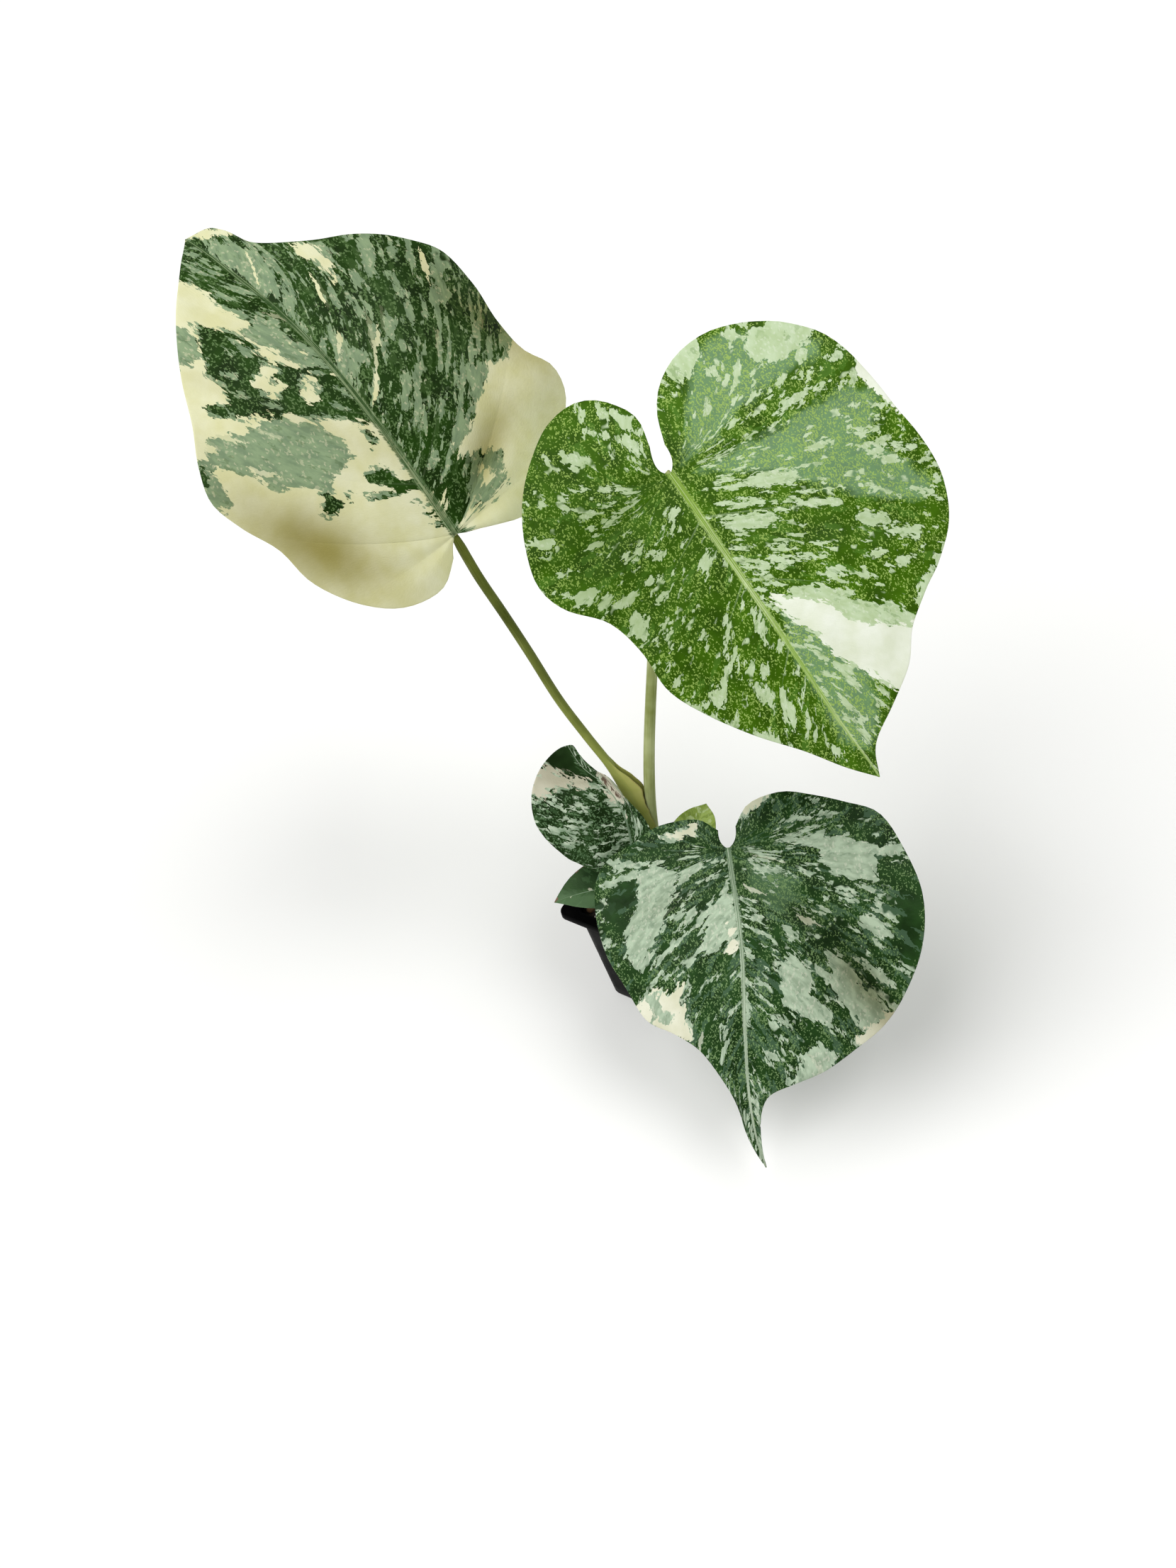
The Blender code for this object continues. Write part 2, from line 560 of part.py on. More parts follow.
def make_sheath_petiole():
    name = "leaf_upper_left_petiole"
    neighbour_spec = PETIOLES["leaf_upper_right_petiole"]
    neighbour = smooth_line(neighbour_spec["path"], 400)
    spec = SHEATH_PETIOLE
    leaf = LEAVES[spec["blade"]]
    start, end = spec["radii"]
    line = spec["path"] + [tuple(petiole_end(leaf, end))]
    dense = smooth_line(line, 200)
    top = SHEATH_WINGS[-1][0]
    low = dense[dense[:, 2] < top]
    high = dense[dense[:, 2] >= top]
    winged, plain = SHEATH_STATIONS
    path = np.vstack([low[np.linspace(0, len(low) - 1, winged).astype(int)],
                      high[np.linspace(3, len(high) - 1, plain).astype(int)]])
    tangent = np.gradient(path, axis=0)
    tangent /= np.linalg.norm(tangent, axis=1)[:, None]
    heights, reaches, spreads = np.array(SHEATH_WINGS, float).T
    rings = []
    front = np.array([1.0, 0.0, 0.0])
    for i, point in enumerate(path):
        radius = start + (end - start) * i / (len(path) - 1)
        reach, spread = radius, radius * 0.5
        if point[2] < top:
            front, distance = neighbour_direction(point, tangent[i], neighbour)
            reach, spread = np.interp(point[2], heights, reaches), np.interp(point[2], heights, spreads)
            if point[2] > SHEATH_FLANK_TOP:
                reach = min(reach, distance - 1.25 * neighbour_spec["radii"][0] - SHEATH_CLEARANCE)
            if point[2] > SHEATH_NARROW_FROM:
                spread = min(spread, radius * 0.9)
        front = front - tangent[i] * (front @ tangent[i])
        front /= np.linalg.norm(front)
        flank = np.cross(tangent[i], front)
        roundness = np.interp(point[2], SHEATH_FADE, (0, 1))
        section = sheath_section(radius, max(reach, 1.3 * radius), spread, roundness)
        rings.append(point + section[:, :1] * front + section[:, 1:] * flank)
    faces = loft_faces(len(rings), len(rings[0]))
    return add_object(name, np.vstack(rings), faces, "sheath_yellow_green", path[0])


clear_scene()
make_pot()
make_soil()
make_stem()
for blade_name in LEAVES:
    make_blade(blade_name)
for petiole_name in PETIOLES:
    make_petiole(petiole_name)
make_sheath_petiole()
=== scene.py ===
import math
from functools import partial

import bmesh
import bpy
import numpy as np
from mathutils import Matrix, Vector


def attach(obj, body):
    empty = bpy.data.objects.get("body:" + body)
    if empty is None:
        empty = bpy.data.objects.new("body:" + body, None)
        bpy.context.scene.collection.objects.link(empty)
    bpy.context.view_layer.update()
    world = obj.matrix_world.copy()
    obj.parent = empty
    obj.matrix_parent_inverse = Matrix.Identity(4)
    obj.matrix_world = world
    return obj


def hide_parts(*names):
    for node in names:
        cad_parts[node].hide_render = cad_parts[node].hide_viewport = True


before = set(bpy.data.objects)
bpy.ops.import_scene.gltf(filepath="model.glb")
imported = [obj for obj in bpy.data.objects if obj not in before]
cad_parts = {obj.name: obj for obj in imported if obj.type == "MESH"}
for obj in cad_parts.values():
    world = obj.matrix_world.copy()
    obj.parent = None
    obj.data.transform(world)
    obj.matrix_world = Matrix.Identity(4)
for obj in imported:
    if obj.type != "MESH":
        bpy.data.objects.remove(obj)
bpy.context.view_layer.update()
mm = 0.001
print("frame loaded:", len(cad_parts), "nodes")


def linear(hexColour):
    parts = [int(hexColour[i:i + 2], 16) / 255 for i in (1, 3, 5)]
    return (*[p / 12.92 if p <= 0.04045 else ((p + 0.055) / 1.055) ** 2.4 for p in parts], 1.0)


def addNode(tree, kind, settings=None, links=None, out=0):
    # adds one node, sets its values (colours as hex), links its inputs and gives back one of its outputs
    node = tree.nodes.new(kind if "Node" in kind else tree.bl_idname[:-4] + kind)
    for key, value in (settings or {}).items():
        if isinstance(key, int) or key in node.inputs:
            node.inputs[key].default_value = linear(value) if str(value).startswith("#") else value
        else:
            setattr(node, key, value)
    for key, source in (links or {}).items():
        tree.links.new(source, node.inputs[key])
    return node.outputs[out] if len(node.outputs) else node


def newMaterial(name, roughness, specular=0.5):
    material = bpy.data.materials.new(name)
    material.use_nodes = True
    shader = material.node_tree.nodes["Principled BSDF"]
    shader.inputs["Roughness"].default_value = roughness
    shader.inputs["Specular IOR Level"].default_value = specular
    return material, shader, partial(addNode, material.node_tree)


def paintLayers(add, colour, layers):
    # lays colours over one another: (value, from, to, least, most) is how strongly each one covers
    for value, low, high, least, most, over in layers:
        cover = add("MapRange", {1: low, 2: high, 3: least, 4: most}, {0: value})
        sides = {6: colour, 7: over}
        fixed = {key: side for key, side in sides.items() if isinstance(side, str)}
        linked = {key: side for key, side in sides.items() if key not in fixed}
        colour = add("Mix", {"data_type": "RGBA", **fixed}, {0: cover, **linked}, 2)
    return colour


def dressShader(shader, add, colour, height, strength, depth, roughness=None):
    # colour, relief and, where it varies, roughness
    relief = add("Bump", {"Strength": strength, "Distance": depth}, {"Height": height})
    for key, source in (("Base Color", colour), ("Normal", relief), ("Roughness", roughness)):
        if source is not None:
            shader.id_data.links.new(source, shader.inputs[key])


def arrowAt(degrees):
    # unit arrow (x, y) for each angle from the x axis
    turn = np.radians(degrees)
    return np.stack([np.cos(turn), np.sin(turn)], axis=-1)


def faceOutwards(mesh):
    build = bmesh.new()
    build.from_mesh(mesh)
    bmesh.ops.remove_doubles(build, verts=build.verts, dist=1e-7)
    bmesh.ops.recalc_face_normals(build, faces=build.faces)
    build.to_mesh(mesh)
    build.free()


def linkObject(name, data):
    piece = bpy.data.objects.new(name, data)
    bpy.context.scene.collection.objects.link(piece)
    return piece


def meshObject(name, points, faces, attributes=None):
    # points in millimetres; attributes: one number or three for each point
    mesh = bpy.data.meshes.new(name)
    mesh.from_pydata([tuple(p) for p in np.asarray(points, float) * mm], [], [tuple(f) for f in faces])
    for key, values in (attributes or {}).items():
        values = np.asarray(values, np.float32)
        vector = values.ndim == 2
        layer = mesh.attributes.new(key, "FLOAT_VECTOR" if vector else "FLOAT", "POINT")
        layer.data.foreach_set("vector" if vector else "value", values.ravel())
    faceOutwards(mesh)
    mesh.shade_smooth()
    return linkObject(name, mesh)


def bakeModifiers(piece):
    # what the modifiers make becomes the plain mesh
    bpy.context.view_layer.update()
    graph = bpy.context.evaluated_depsgraph_get()
    mesh = bpy.data.meshes.new_from_object(piece.evaluated_get(graph), depsgraph=graph)
    piece.modifiers.clear()
    old, piece.data = piece.data, mesh
    mesh.name = piece.name
    bpy.data.meshes.remove(old)
    faceOutwards(mesh)
    return piece


def placePiece(piece, material, slot, *nodes):
    piece.data.materials.clear()
    piece.data.materials.append(material)
    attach(piece, "root")
    if nodes:
        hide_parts(*nodes)


def lengthsAlong(points):
    return np.concatenate([[0], np.cumsum(np.linalg.norm(np.diff(points, axis=0), axis=1))])


def smoothLine(points, shares):
    # rounded line through the points, read off at shares of its length
    points = np.asarray(points, float)
    ends = np.vstack([2 * points[0] - points[1], points, 2 * points[-1] - points[-2]])
    knots = np.concatenate([[0], np.cumsum(np.linalg.norm(np.diff(ends, axis=0), axis=1) ** 0.5)])
    dense = []
    for i in range(1, len(ends) - 2):
        t = np.linspace(knots[i], knots[i + 1], 24, endpoint=False)[:, None]
        level = list(ends[i - 1:i + 3])
        for first, last in ((0, 1), (0, 2), (1, 2)):
            spans = [(knots[i - 1 + first + k], knots[i - 1 + last + k]) for k in range(len(level) - 1)]
            level = [((end - t) * p + (t - start) * q) / (end - start)
                     for (start, end), p, q in zip(spans, level, level[1:])]
        dense.append(level[0])
    dense = np.vstack(dense + [points[-1:]])
    run = lengthsAlong(dense)
    at = np.asarray(shares) * run[-1]
    return np.stack([np.interp(at, run, dense[:, k]) for k in range(dense.shape[1])], axis=1)


# camera, floor and light

cameraSet = {
    "place": (-0.01924, -0.46583, 0.66070), "down": 46.0, "roll": 14.0, "lens": 30.0, "nearClip": 0.01,
}


def buildCamera():
    down, roll = math.radians(cameraSet["down"]), math.radians(cameraSet["roll"])
    forward = Vector((0, math.cos(down), -math.sin(down)))
    upright = Vector((0, math.sin(down), math.cos(down)))
    level = Vector((1, 0, 0))
    up = upright * math.cos(roll) + level * math.sin(roll)
    right = level * math.cos(roll) - upright * math.sin(roll)
    camera = linkObject("camera", bpy.data.cameras.new("camera"))
    camera.data.lens = cameraSet["lens"]
    camera.data.clip_start = cameraSet["nearClip"]
    turn = Matrix((right, up, -forward)).transposed().to_4x4()
    camera.matrix_world = Matrix.Translation(cameraSet["place"]) @ turn
    bpy.context.scene.camera = camera


stageSet = {
    "floorSide": 16.0, "floorColour": "#f7f7f5", "worldColour": "#ffffff", "worldStrength": 0.30,
    # lamp: direction that the light comes from, how wide it looks (degrees), strength
    "lamps": {"windowLight": ((-0.55, -0.10, 0.83), 50.0, 2.10),
              "topLight": ((0.34, -0.20, 0.92), 28.0, 1.00)},
}


def buildStage():
    half = stageSet["floorSide"] / 2 / mm
    floor = meshObject("floor", [(-half, -half, 0), (half, -half, 0), (half, half, 0), (-half, half, 0)],
                       [(0, 1, 2, 3)])
    # matt paper: an even near white that only shows soft shadows
    material, shader, _ = newMaterial("mattePaper", 0.9, 0.1)
    shader.inputs["Base Color"].default_value = linear(stageSet["floorColour"])
    floor.data.materials.append(material)
    world = bpy.data.worlds.new("studio")
    world.use_nodes = True
    background = world.node_tree.nodes["Background"]
    background.inputs["Color"].default_value = linear(stageSet["worldColour"])
    background.inputs["Strength"].default_value = stageSet["worldStrength"]
    bpy.context.scene.world = world
    for name, (direction, width, strength) in stageSet["lamps"].items():
        lamp = linkObject(name, bpy.data.lights.new(name, "SUN"))
        lamp.data.angle = math.radians(width)
        lamp.data.energy = strength
        lamp.rotation_euler = Vector(direction).to_track_quat("Z", "Y").to_euler()
        lamp.location = Vector(direction) * 2
    bpy.context.scene.view_settings.view_transform = "Standard"


buildCamera()
buildStage()
print("camera, floor and light placed")


# pot

potSet = {
    "height": 86.0, "turn": -42.0, "lipSide": 76.0, "lipBand": 4.2, "lipRadius": 5.0, "lipEase": 0.7,
    "sideTop": 65.0, "sideBase": 51.5, "radiusTop": 9.0, "radiusBase": 7.0, "wall": 1.2, "floor": 1.6,
    "drainRadius": 3.0, "drainOffset": 16.5, "drainSides": 32, "cornerSteps": 12, "sideSteps": 10,
    # (height, inset) of the rings at the rounded foot; below the lip's underside; below its top inside,
    # where the inset comes on top of the wall; and above the inside floor
    "foot": ((0, 0.8), (0.25, 0.25), (0.8, 0.0)), "underLip": ((0.6, -0.15), (0.0, -0.7)),
    "insideLip": ((0.2, -0.6), (0.8, 0.0)), "insideFoot": ((0.5, 0.0), (0.0, 0.5)),
    "plainWall": (8, 2), "lipSteps": 9, "drainReach": (-4.0, 6.0), "sharpAngle": 50,
    "black": "#030303", "worn": "#0a0909", "dust": "#1d1a17",
}


def roundedSquare(side, radius, height):
    half = side / 2 - radius
    ring = []
    for corner, signs in enumerate(((1, 1), (-1, 1), (-1, -1), (1, -1))):
        angles = 90 * (corner + np.arange(potSet["cornerSteps"] + 1) / potSet["cornerSteps"])
        ring += list(half * np.array(signs) + radius * arrowAt(angles))
        run = 2 * half * np.arange(1, potSet["sideSteps"])[:, None] / potSet["sideSteps"]
        ring += list(ring[-1] - run * arrowAt(90 * corner))
    x, y = arrowAt(potSet["turn"])
    return np.column_stack([np.array(ring) @ [(x, y), (-y, x)], np.full(len(ring), float(height))])


def wallAt(height, inset=0.0):
    share = height / potSet["height"]
    side, radius = [potSet[key + "Base"] + (potSet[key + "Top"] - potSet[key + "Base"]) * share
                    for key in ("side", "radius")]
    return roundedSquare(side - 2 * inset, radius - inset, height)


def loftFaces(rings, sides, closed=True):
    faces = [(low + k, low + (k + 1) % sides, low + sides + (k + 1) % sides, low + sides + k)
             for low in range(0, (rings - 1) * sides, sides) for k in range(sides)]
    if closed:
        faces += [tuple(range(sides)), tuple(range((rings - 1) * sides, rings * sides))]
    return faces


def buildPot():
    top, band, ease, side, radius, wall, floor, (low, high) = [potSet[key] for key in (
        "height", "lipBand", "lipEase", "lipSide", "lipRadius", "wall", "floor", "plainWall")]
    under = top - band
    rings = [wallAt(*place) for place in potSet["foot"]]
    rings += [wallAt(h) for h in np.linspace(low, under - high, 9)]
    rings += [wallAt(under - below, inset) for below, inset in potSet["underLip"]]
    for angle in np.radians(np.linspace(-90, 90, potSet["lipSteps"])):
        # lip: a soft outward roll with a flat face
        out = ease * (1 - math.cos(angle))
        height = (under + ease if angle <= 0 else top - ease) + ease * math.sin(angle)
        rings.append(roundedSquare(side - 2 * out, radius - out, height))
    rings.append(wallAt(top, potSet["underLip"][-1][1]))
    rings += [wallAt(top - below, wall + inset) for below, inset in potSet["insideLip"]]
    rings += [wallAt(h, wall) for h in np.linspace(top - low, low, 7)]
    rings += [wallAt(floor + above, wall + inset) for above, inset in potSet["insideFoot"]]
    pot = meshObject("nurseryPot", np.vstack(rings), loftFaces(len(rings), len(rings[0])))
    circle = potSet["drainRadius"] * arrowAt(np.linspace(0, 360, potSet["drainSides"], endpoint=False))
    for corner in range(4):
        x, y = (circle + potSet["drainOffset"] * arrowAt(potSet["turn"] + 90 * corner)).T
        points = [(*place, z) for z in potSet["drainReach"] for place in zip(x, y)]
        hole = pot.modifiers.new("drain%d" % corner, "BOOLEAN")
        hole.operation = "DIFFERENCE"
        hole.solver = "EXACT"
        hole.object = meshObject("drainCutter%d" % corner, points, loftFaces(2, len(circle)))
    cutters = [hole.object for hole in pot.modifiers]
    bakeModifiers(pot)
    for cutter in cutters:
        bpy.data.objects.remove(cutter, do_unlink=True)
    pot.data.set_sharp_from_angle(angle=math.radians(potSet["sharpAngle"]))
    return pot


def blackPlastic():
    # moulded polypropylene: near black, satin, with faint scuffs and handling marks
    material, shader, add = newMaterial("blackPolypropylene", 0.4, 0.03)
    body = add("TexCoord", out="Object")
    # scuffs are about 11 mm across; handling marks run round the pot, about 12 mm long and 1 mm high
    scuff = add("TexNoise", {"Scale": 90.0, "Detail": 5.0, "Roughness": 0.65}, {"Vector": body})
    stretched = add("VectorMath", {"operation": "MULTIPLY", 1: (80.0, 80.0, 900.0)}, {0: body})
    marks = add("TexNoise", {"Scale": 1.0, "Detail": 4.0}, {"Vector": stretched})
    colour = paintLayers(add, potSet["black"], (
        (scuff, 0.50, 0.75, 0.0, 1.0, potSet["worn"]), (marks, 0.60, 0.72, 0.0, 0.35, potSet["dust"])))
    gloss = add("MapRange", {1: 0.3, 2: 0.7, 3: 0.34, 4: 0.52}, {0: scuff})
    grain = add("TexNoise", {"Scale": 1800.0, "Detail": 2.0}, {"Vector": body})  # about 0.6 mm
    both = add("Math", {"operation": "ADD"}, {0: grain, 1: marks})
    dressShader(shader, add, colour, both, 0.2, 0.0001, gloss)
    return material


placePiece(buildPot(), blackPlastic(), "black_plastic", "nursery_pot")
print("pot built")


# potting mix: a coarse crumbly surface, with bark chips and perlite scattered over it

soilSet = {
    "top": 77.0, "crown": 2.2, "gap": 0.3, "rings": 26, "stemCentre": (5.5, 3.0), "stemRadius": 6.0,
    "seed": 5, "crumbs": (0.9, 0.5), "peat": ("#120c08", "#2b1d13"),
    # scatter: points on each square metre, size (mm), flatness, roughening (mm), seed
    # and its skin: name, dark, light, cell (mm)
    "chips": {"density": 95000.0, "size": (1.3, 4.2), "shape": (1.0, 0.62, 0.34), "roughen": 1.0, "seed": 3,
              "skin": ("pineBark", "#2b1d13", "#7a5638", 5.0)},
    "perlite": {"density": 26000.0, "size": (0.7, 1.7), "shape": (1.0, 0.9, 0.8), "roughen": 0.7, "seed": 8,
                "skin": ("perliteGrain", "#a39d90", "#d9d6cc", 3.0)},
}


def softNoise(seed, x, y, size, count=10):
    # smooth undulation from a few seeded waves, about -1 to 1
    rng = np.random.default_rng(seed)
    total = np.zeros_like(x)
    for turn, length, phase in zip(rng.uniform(0, 2 * np.pi, count), rng.uniform(0.7, 1.6, count) * size,
                                   rng.uniform(0, 2 * np.pi, count)):
        total += np.sin((x * math.cos(turn) + y * math.sin(turn)) * 2 * np.pi / length + phase)
    return total / math.sqrt(count)


def buildSoil():
    bottom = potSet["floor"] + soilSet["gap"]
    inset = potSet["wall"] + soilSet["gap"]
    top, seed, (coarse, fine) = soilSet["top"], soilSet["seed"], soilSet["crumbs"]
    rings = [wallAt(h, inset) for h in (bottom, bottom + 25, bottom + 50, top - 0.5)]
    edge = wallAt(top, inset)
    centre = np.array([*soilSet["stemCentre"], 0.0])
    spokes = (edge - centre) * (1, 1, 0)
    middle = centre + spokes / np.linalg.norm(spokes, axis=1)[:, None] * soilSet["stemRadius"]
    surface = []
    for share in np.linspace(0, 1, soilSet["rings"]) ** 0.9:
        ring = edge * (1 - share) + middle * share
        x, y = ring[:, 0], ring[:, 1]
        crumbs = coarse * softNoise(seed, x, y, 9.0) + fine * softNoise(seed + 1, x, y, 3.2)
        ring[:, 2] = top + soilSet["crown"] * math.sin(share * math.pi / 2) + 0.6 * crumbs
        surface.append(ring)
    sides = len(edge)
    soil = meshObject("pottingMix", np.vstack(rings + surface), loftFaces(len(rings) + len(surface), sides))
    host = meshObject("soilSurface", np.vstack(surface[2:-1]), loftFaces(len(surface) - 3, sides, False))
    return soil, host


def newNodesTree(name, inputs):
    # Geometry Nodes tree with geometry in and out and named inputs
    tree = bpy.data.node_groups.new(name, "GeometryNodeTree")
    sockets = {}
    for key, kind in (("Geometry", "Geometry"), *inputs):
        socket = tree.interface.new_socket(key, in_out="INPUT", socket_type="NodeSocket" + kind)
        sockets[key] = socket.identifier
    tree.interface.new_socket("Geometry", in_out="OUTPUT", socket_type="NodeSocketGeometry")
    add = partial(addNode, tree)
    return tree, sockets, add, add("NodeGroupInput").node.outputs


def runTree(piece, tree, sockets, values):
    modifier = piece.modifiers.new(tree.name, "NODES")
    modifier.node_group = tree
    for key, value in values.items():
        modifier[sockets[key]] = value
    return bakeModifiers(piece)


def buildScatterTree():
    tree, sockets, add, entry = newNodesTree("scatterCrumbs", (
        ("Density", "Float"), ("Smallest", "Float"), ("Largest", "Float"), ("Shape", "Vector"),
        ("Roughen", "Float"), ("Seed", "Int"), ("Finish", "Material")))
    points = add("DistributePointsOnFaces", links={
        "Mesh": entry["Geometry"], "Density": entry["Density"], "Seed": entry["Seed"]})
    grain = add("MeshUVSphere", {"Segments": 8, "Rings": 6, "Radius": 1.0})
    grain = add("Transform", links={"Geometry": grain, "Scale": entry["Shape"]})
    turn = add("FunctionNodeRandomValue", {
        "data_type": "FLOAT_VECTOR", 0: (-0.6, -0.6, 0.0), 1: (0.6, 0.6, 6.28)}, {"Seed": entry["Seed"]})
    size = add("FunctionNodeRandomValue", {"data_type": "FLOAT"}, {
        2: entry["Smallest"], 3: entry["Largest"], "Seed": entry["Seed"]}, 1)
    placed = add("InstanceOnPoints", links={
        "Points": points, "Instance": grain, "Rotation": turn, "Scale": size})
    real = add("RealizeInstances", links={0: placed})
    # the crumbs are roughened in waves of about 2.4 mm
    place = add("InputPosition")
    noise = add("ShaderNodeTexNoise", {"Scale": 420.0, "Detail": 2.0}, {"Vector": place}, "Color")
    centred = add("ShaderNodeVectorMath", {"operation": "SUBTRACT", 1: (0.5, 0.5, 0.5)}, {0: noise})
    push = add("ShaderNodeVectorMath", {"operation": "SCALE"}, {0: centred, "Scale": entry["Roughen"]})
    rough = add("SetPosition", links={"Geometry": real, "Offset": push})
    rough = add("SetShadeSmooth", links={0: rough})
    real = add("RealizeInstances", links={0: rough})
    painted = add("SetMaterial", links={"Geometry": real, "Material": entry["Finish"]})
    add("NodeGroupOutput", links={0: painted})
    return tree, sockets


def crumbMaterial(name, dark, light, cell, roughness):
    # dry crumbs: each one has its own shade, with a fibrous or pitted grain
    material, shader, add = newMaterial(name, roughness)
    body = add("TexCoord", out="Object")
    cells = add("TexVoronoi", {"Scale": 1 / (cell * mm)}, {"Vector": body}, "Color")
    shade = add("SeparateColor", links={0: cells})
    grain = add("TexNoise", {"Scale": 1300.0, "Detail": 4.0, "Roughness": 0.7}, {"Vector": body})  # 0.8 mm
    # about half of the shade is the crumb's own, the rest is the grain's
    both = add("Math", {"operation": "MULTIPLY_ADD", 1: 0.55, 2: -0.05}, {0: shade})
    both = add("Math", {"operation": "MULTIPLY_ADD", 1: 0.6}, {0: grain, 2: both})
    colour = add("Mix", {"data_type": "RGBA", 6: dark, 7: light}, {0: both}, 2)
    dressShader(shader, add, colour, grain, 0.6, 0.0004)
    return material


soil, soilHost = buildSoil()
placePiece(soil, crumbMaterial("dampPeat", *soilSet["peat"], 2.2, 0.95), "bark_mix", "potting_mix")
scatterTree, scatterSockets = buildScatterTree()
for crumbName in ("chips", "perlite"):
    crumbSet = soilSet[crumbName]
    smallest, largest = crumbSet["size"]
    crumbSkin = crumbMaterial(*crumbSet["skin"], 0.9)
    crumbs = linkObject("bark" + crumbName.capitalize(), soilHost.data.copy())
    runTree(crumbs, scatterTree, scatterSockets, {
        "Density": crumbSet["density"], "Smallest": smallest * mm, "Largest": largest * mm,
        "Shape": crumbSet["shape"], "Roughen": crumbSet["roughen"] * mm, "Seed": crumbSet["seed"],
        "Finish": crumbSkin})
    placePiece(crumbs, crumbSkin, "bark_mix")
bpy.data.objects.remove(soilHost, do_unlink=True)
print("potting mix built")


# stem: a short upright stub, ringed where older leaves have dropped

stemSet = {
    "centre": soilSet["stemCentre"], "sides": 44, "rows": 70,
    "stations": [(52.4, 5.4), (66.0, 6.2), (74.0, 6.6), (78.5, 6.3), (81.0, 6.7), (84.5, 6.1), (87.0, 6.5),
                 (90.0, 6.3), (92.4, 5.9), (93.4, 5.2)],
    # scars: heights; ring: how far it stands out, half its height; ripple: depth, count, twist (radians for
    # each mm); tilt: how unevenly the rows lie, how far below the top that ends, over how many mm it grows
    "scars": (76.5, 81.2, 86.4, 90.6), "ring": (0.28, 0.55), "ripple": (0.10, 5, 0.4), "tilt": (0.5, 1.4, 4),
    "green": ("#5f6f2c", "#8a9547"), "scar": "#6b5533",
}


def buildStem():
    sides, top = stemSet["sides"], stemSet["stations"][-1][0]
    turn = np.linspace(0, 2 * np.pi, sides, endpoint=False)
    around = arrowAt(np.degrees(turn))
    (out, span), (deep, count, twist), (lean, rest, over) = [
        stemSet[key] for key in ("ring", "ripple", "tilt")]
    rings = []
    for height, radius in smoothLine(stemSet["stations"], np.linspace(0, 1, stemSet["rows"])):
        swell = sum(out * math.exp(-((height - scar) / span) ** 2) for scar in stemSet["scars"])
        own = radius + swell + deep * np.sin(count * turn + height * twist) * min(1, (top - height) / 2)
        tilt = lean * np.sin(turn + height) * min(1.0, max(0.0, (top - rest - height) / over))
        rings.append(np.column_stack([stemSet["centre"] + own[:, None] * around, height + tilt]))
    return meshObject("stem", np.vstack(rings), loftFaces(len(rings), sides))


def stemSkin():
    # living stem: green waxy skin with corky brown rings at the leaf scars
    material, shader, add = newMaterial("stemSkin", 0.5)
    body = add("TexCoord", out="Object")
    height = add("SeparateXYZ", links={0: body}, out="Z")
    noise = add("TexNoise", {"Scale": 260.0, "Detail": 4.0}, {"Vector": body})  # about 4 mm
    dark, light = stemSet["green"]
    colour = add("Mix", {"data_type": "RGBA", 6: dark, 7: light}, {0: noise}, 2)
    for scar in stemSet["scars"]:
        # each ring is about 1.2 mm high
        away = add("Math", {"operation": "SUBTRACT", 1: scar * mm}, {0: height})
        away = add("Math", {"operation": "ABSOLUTE"}, {0: away})
        colour = paintLayers(add, colour, ((away, 0.4 * mm, 1.1 * mm, 0.8, 0.0, stemSet["scar"]),))
    dressShader(shader, add, colour, noise, 0.3, 0.0003)
    return material


placePiece(buildStem(), stemSkin(), "stem_green", "stem")
print("stem built")


# leaves: the rule that every blade follows, and each blade's own values in millimetres and degrees

leafRule = {
    "basalShare": 0.30, "veinPower": 1.15, "veinPull": 0.5, "foldRounding": 4.0, "backSpan": 60.0,
    "halfThickness": 0.33, "edgeWidth": 0.9,
    # closer points beside the midrib and the margin (mm) and beside a side vein (share of the interval);
    # on rows shorter than this they draw together
    "nearRib": (0.7, 1.4, 2.1, 3.0, 4.2), "nearMargin": (1.1, 0.6, 0.25, 0.06, 0.0),
    "nearVein": (0.0, 0.014, 0.03, 0.06), "betweenVeins": (0.1, 0.9), "shortRow": 14,
    # how far the first rows count as being from the edge of the notch, and what counts as far from any edge
    "notchEdge": (0.0, 0.12, 0.5), "farFromEdge": 9.0,
    # keeps the patterns of the two halves apart (mm)
    "halfShift": 700,
    # on a blade of the typical length: (height, width) of soft bumps all over and at the margin, of the
    # channel over the midrib, the ridge in it (widths in midribs) and the grooves over the side veins;
    # fadeIn: bumps reach full height a third of the way out; marginBand: length and width that the bumps at
    # the margin are laid out on (mm)
    "typicalLength": 170, "bumps": (0.22, 21), "marginBumps": (0.30, 26), "channel": (0.42, 1.25),
    "ridge": (0.26, 0.5), "groove": (0.12, 0.9), "fadeIn": 3, "marginBand": (300, 20),
    # shift of the right half's waves from the left half's (radians)
    "waveLag": 1.3,
    # midrib: width left at the tip (in ribWide), power of the taper; how fast side veins fade to the margin;
    # stretch that their feet share along the midrib (lengths) and round the notch (lengths of the margin)
    "ribTaper": (0.3, 0.8), "veinFade": 0.35, "rootGaps": (0.75, 0.15),
    # shares of the channel and of the grooves that show below
    "below": (0.6, 0.5),
    # fewer strokes and streaks: over green patches (amount, mm to reach it), near the notch (amount, mm)
    "calmGreen": (6, 2), "calmNotch": (1.2, 15),
    # depth of a hollow (mm) that gets the full painted shade, darker and more yellow, in the skin's colour
    "fullShadeDepth": 4,
}
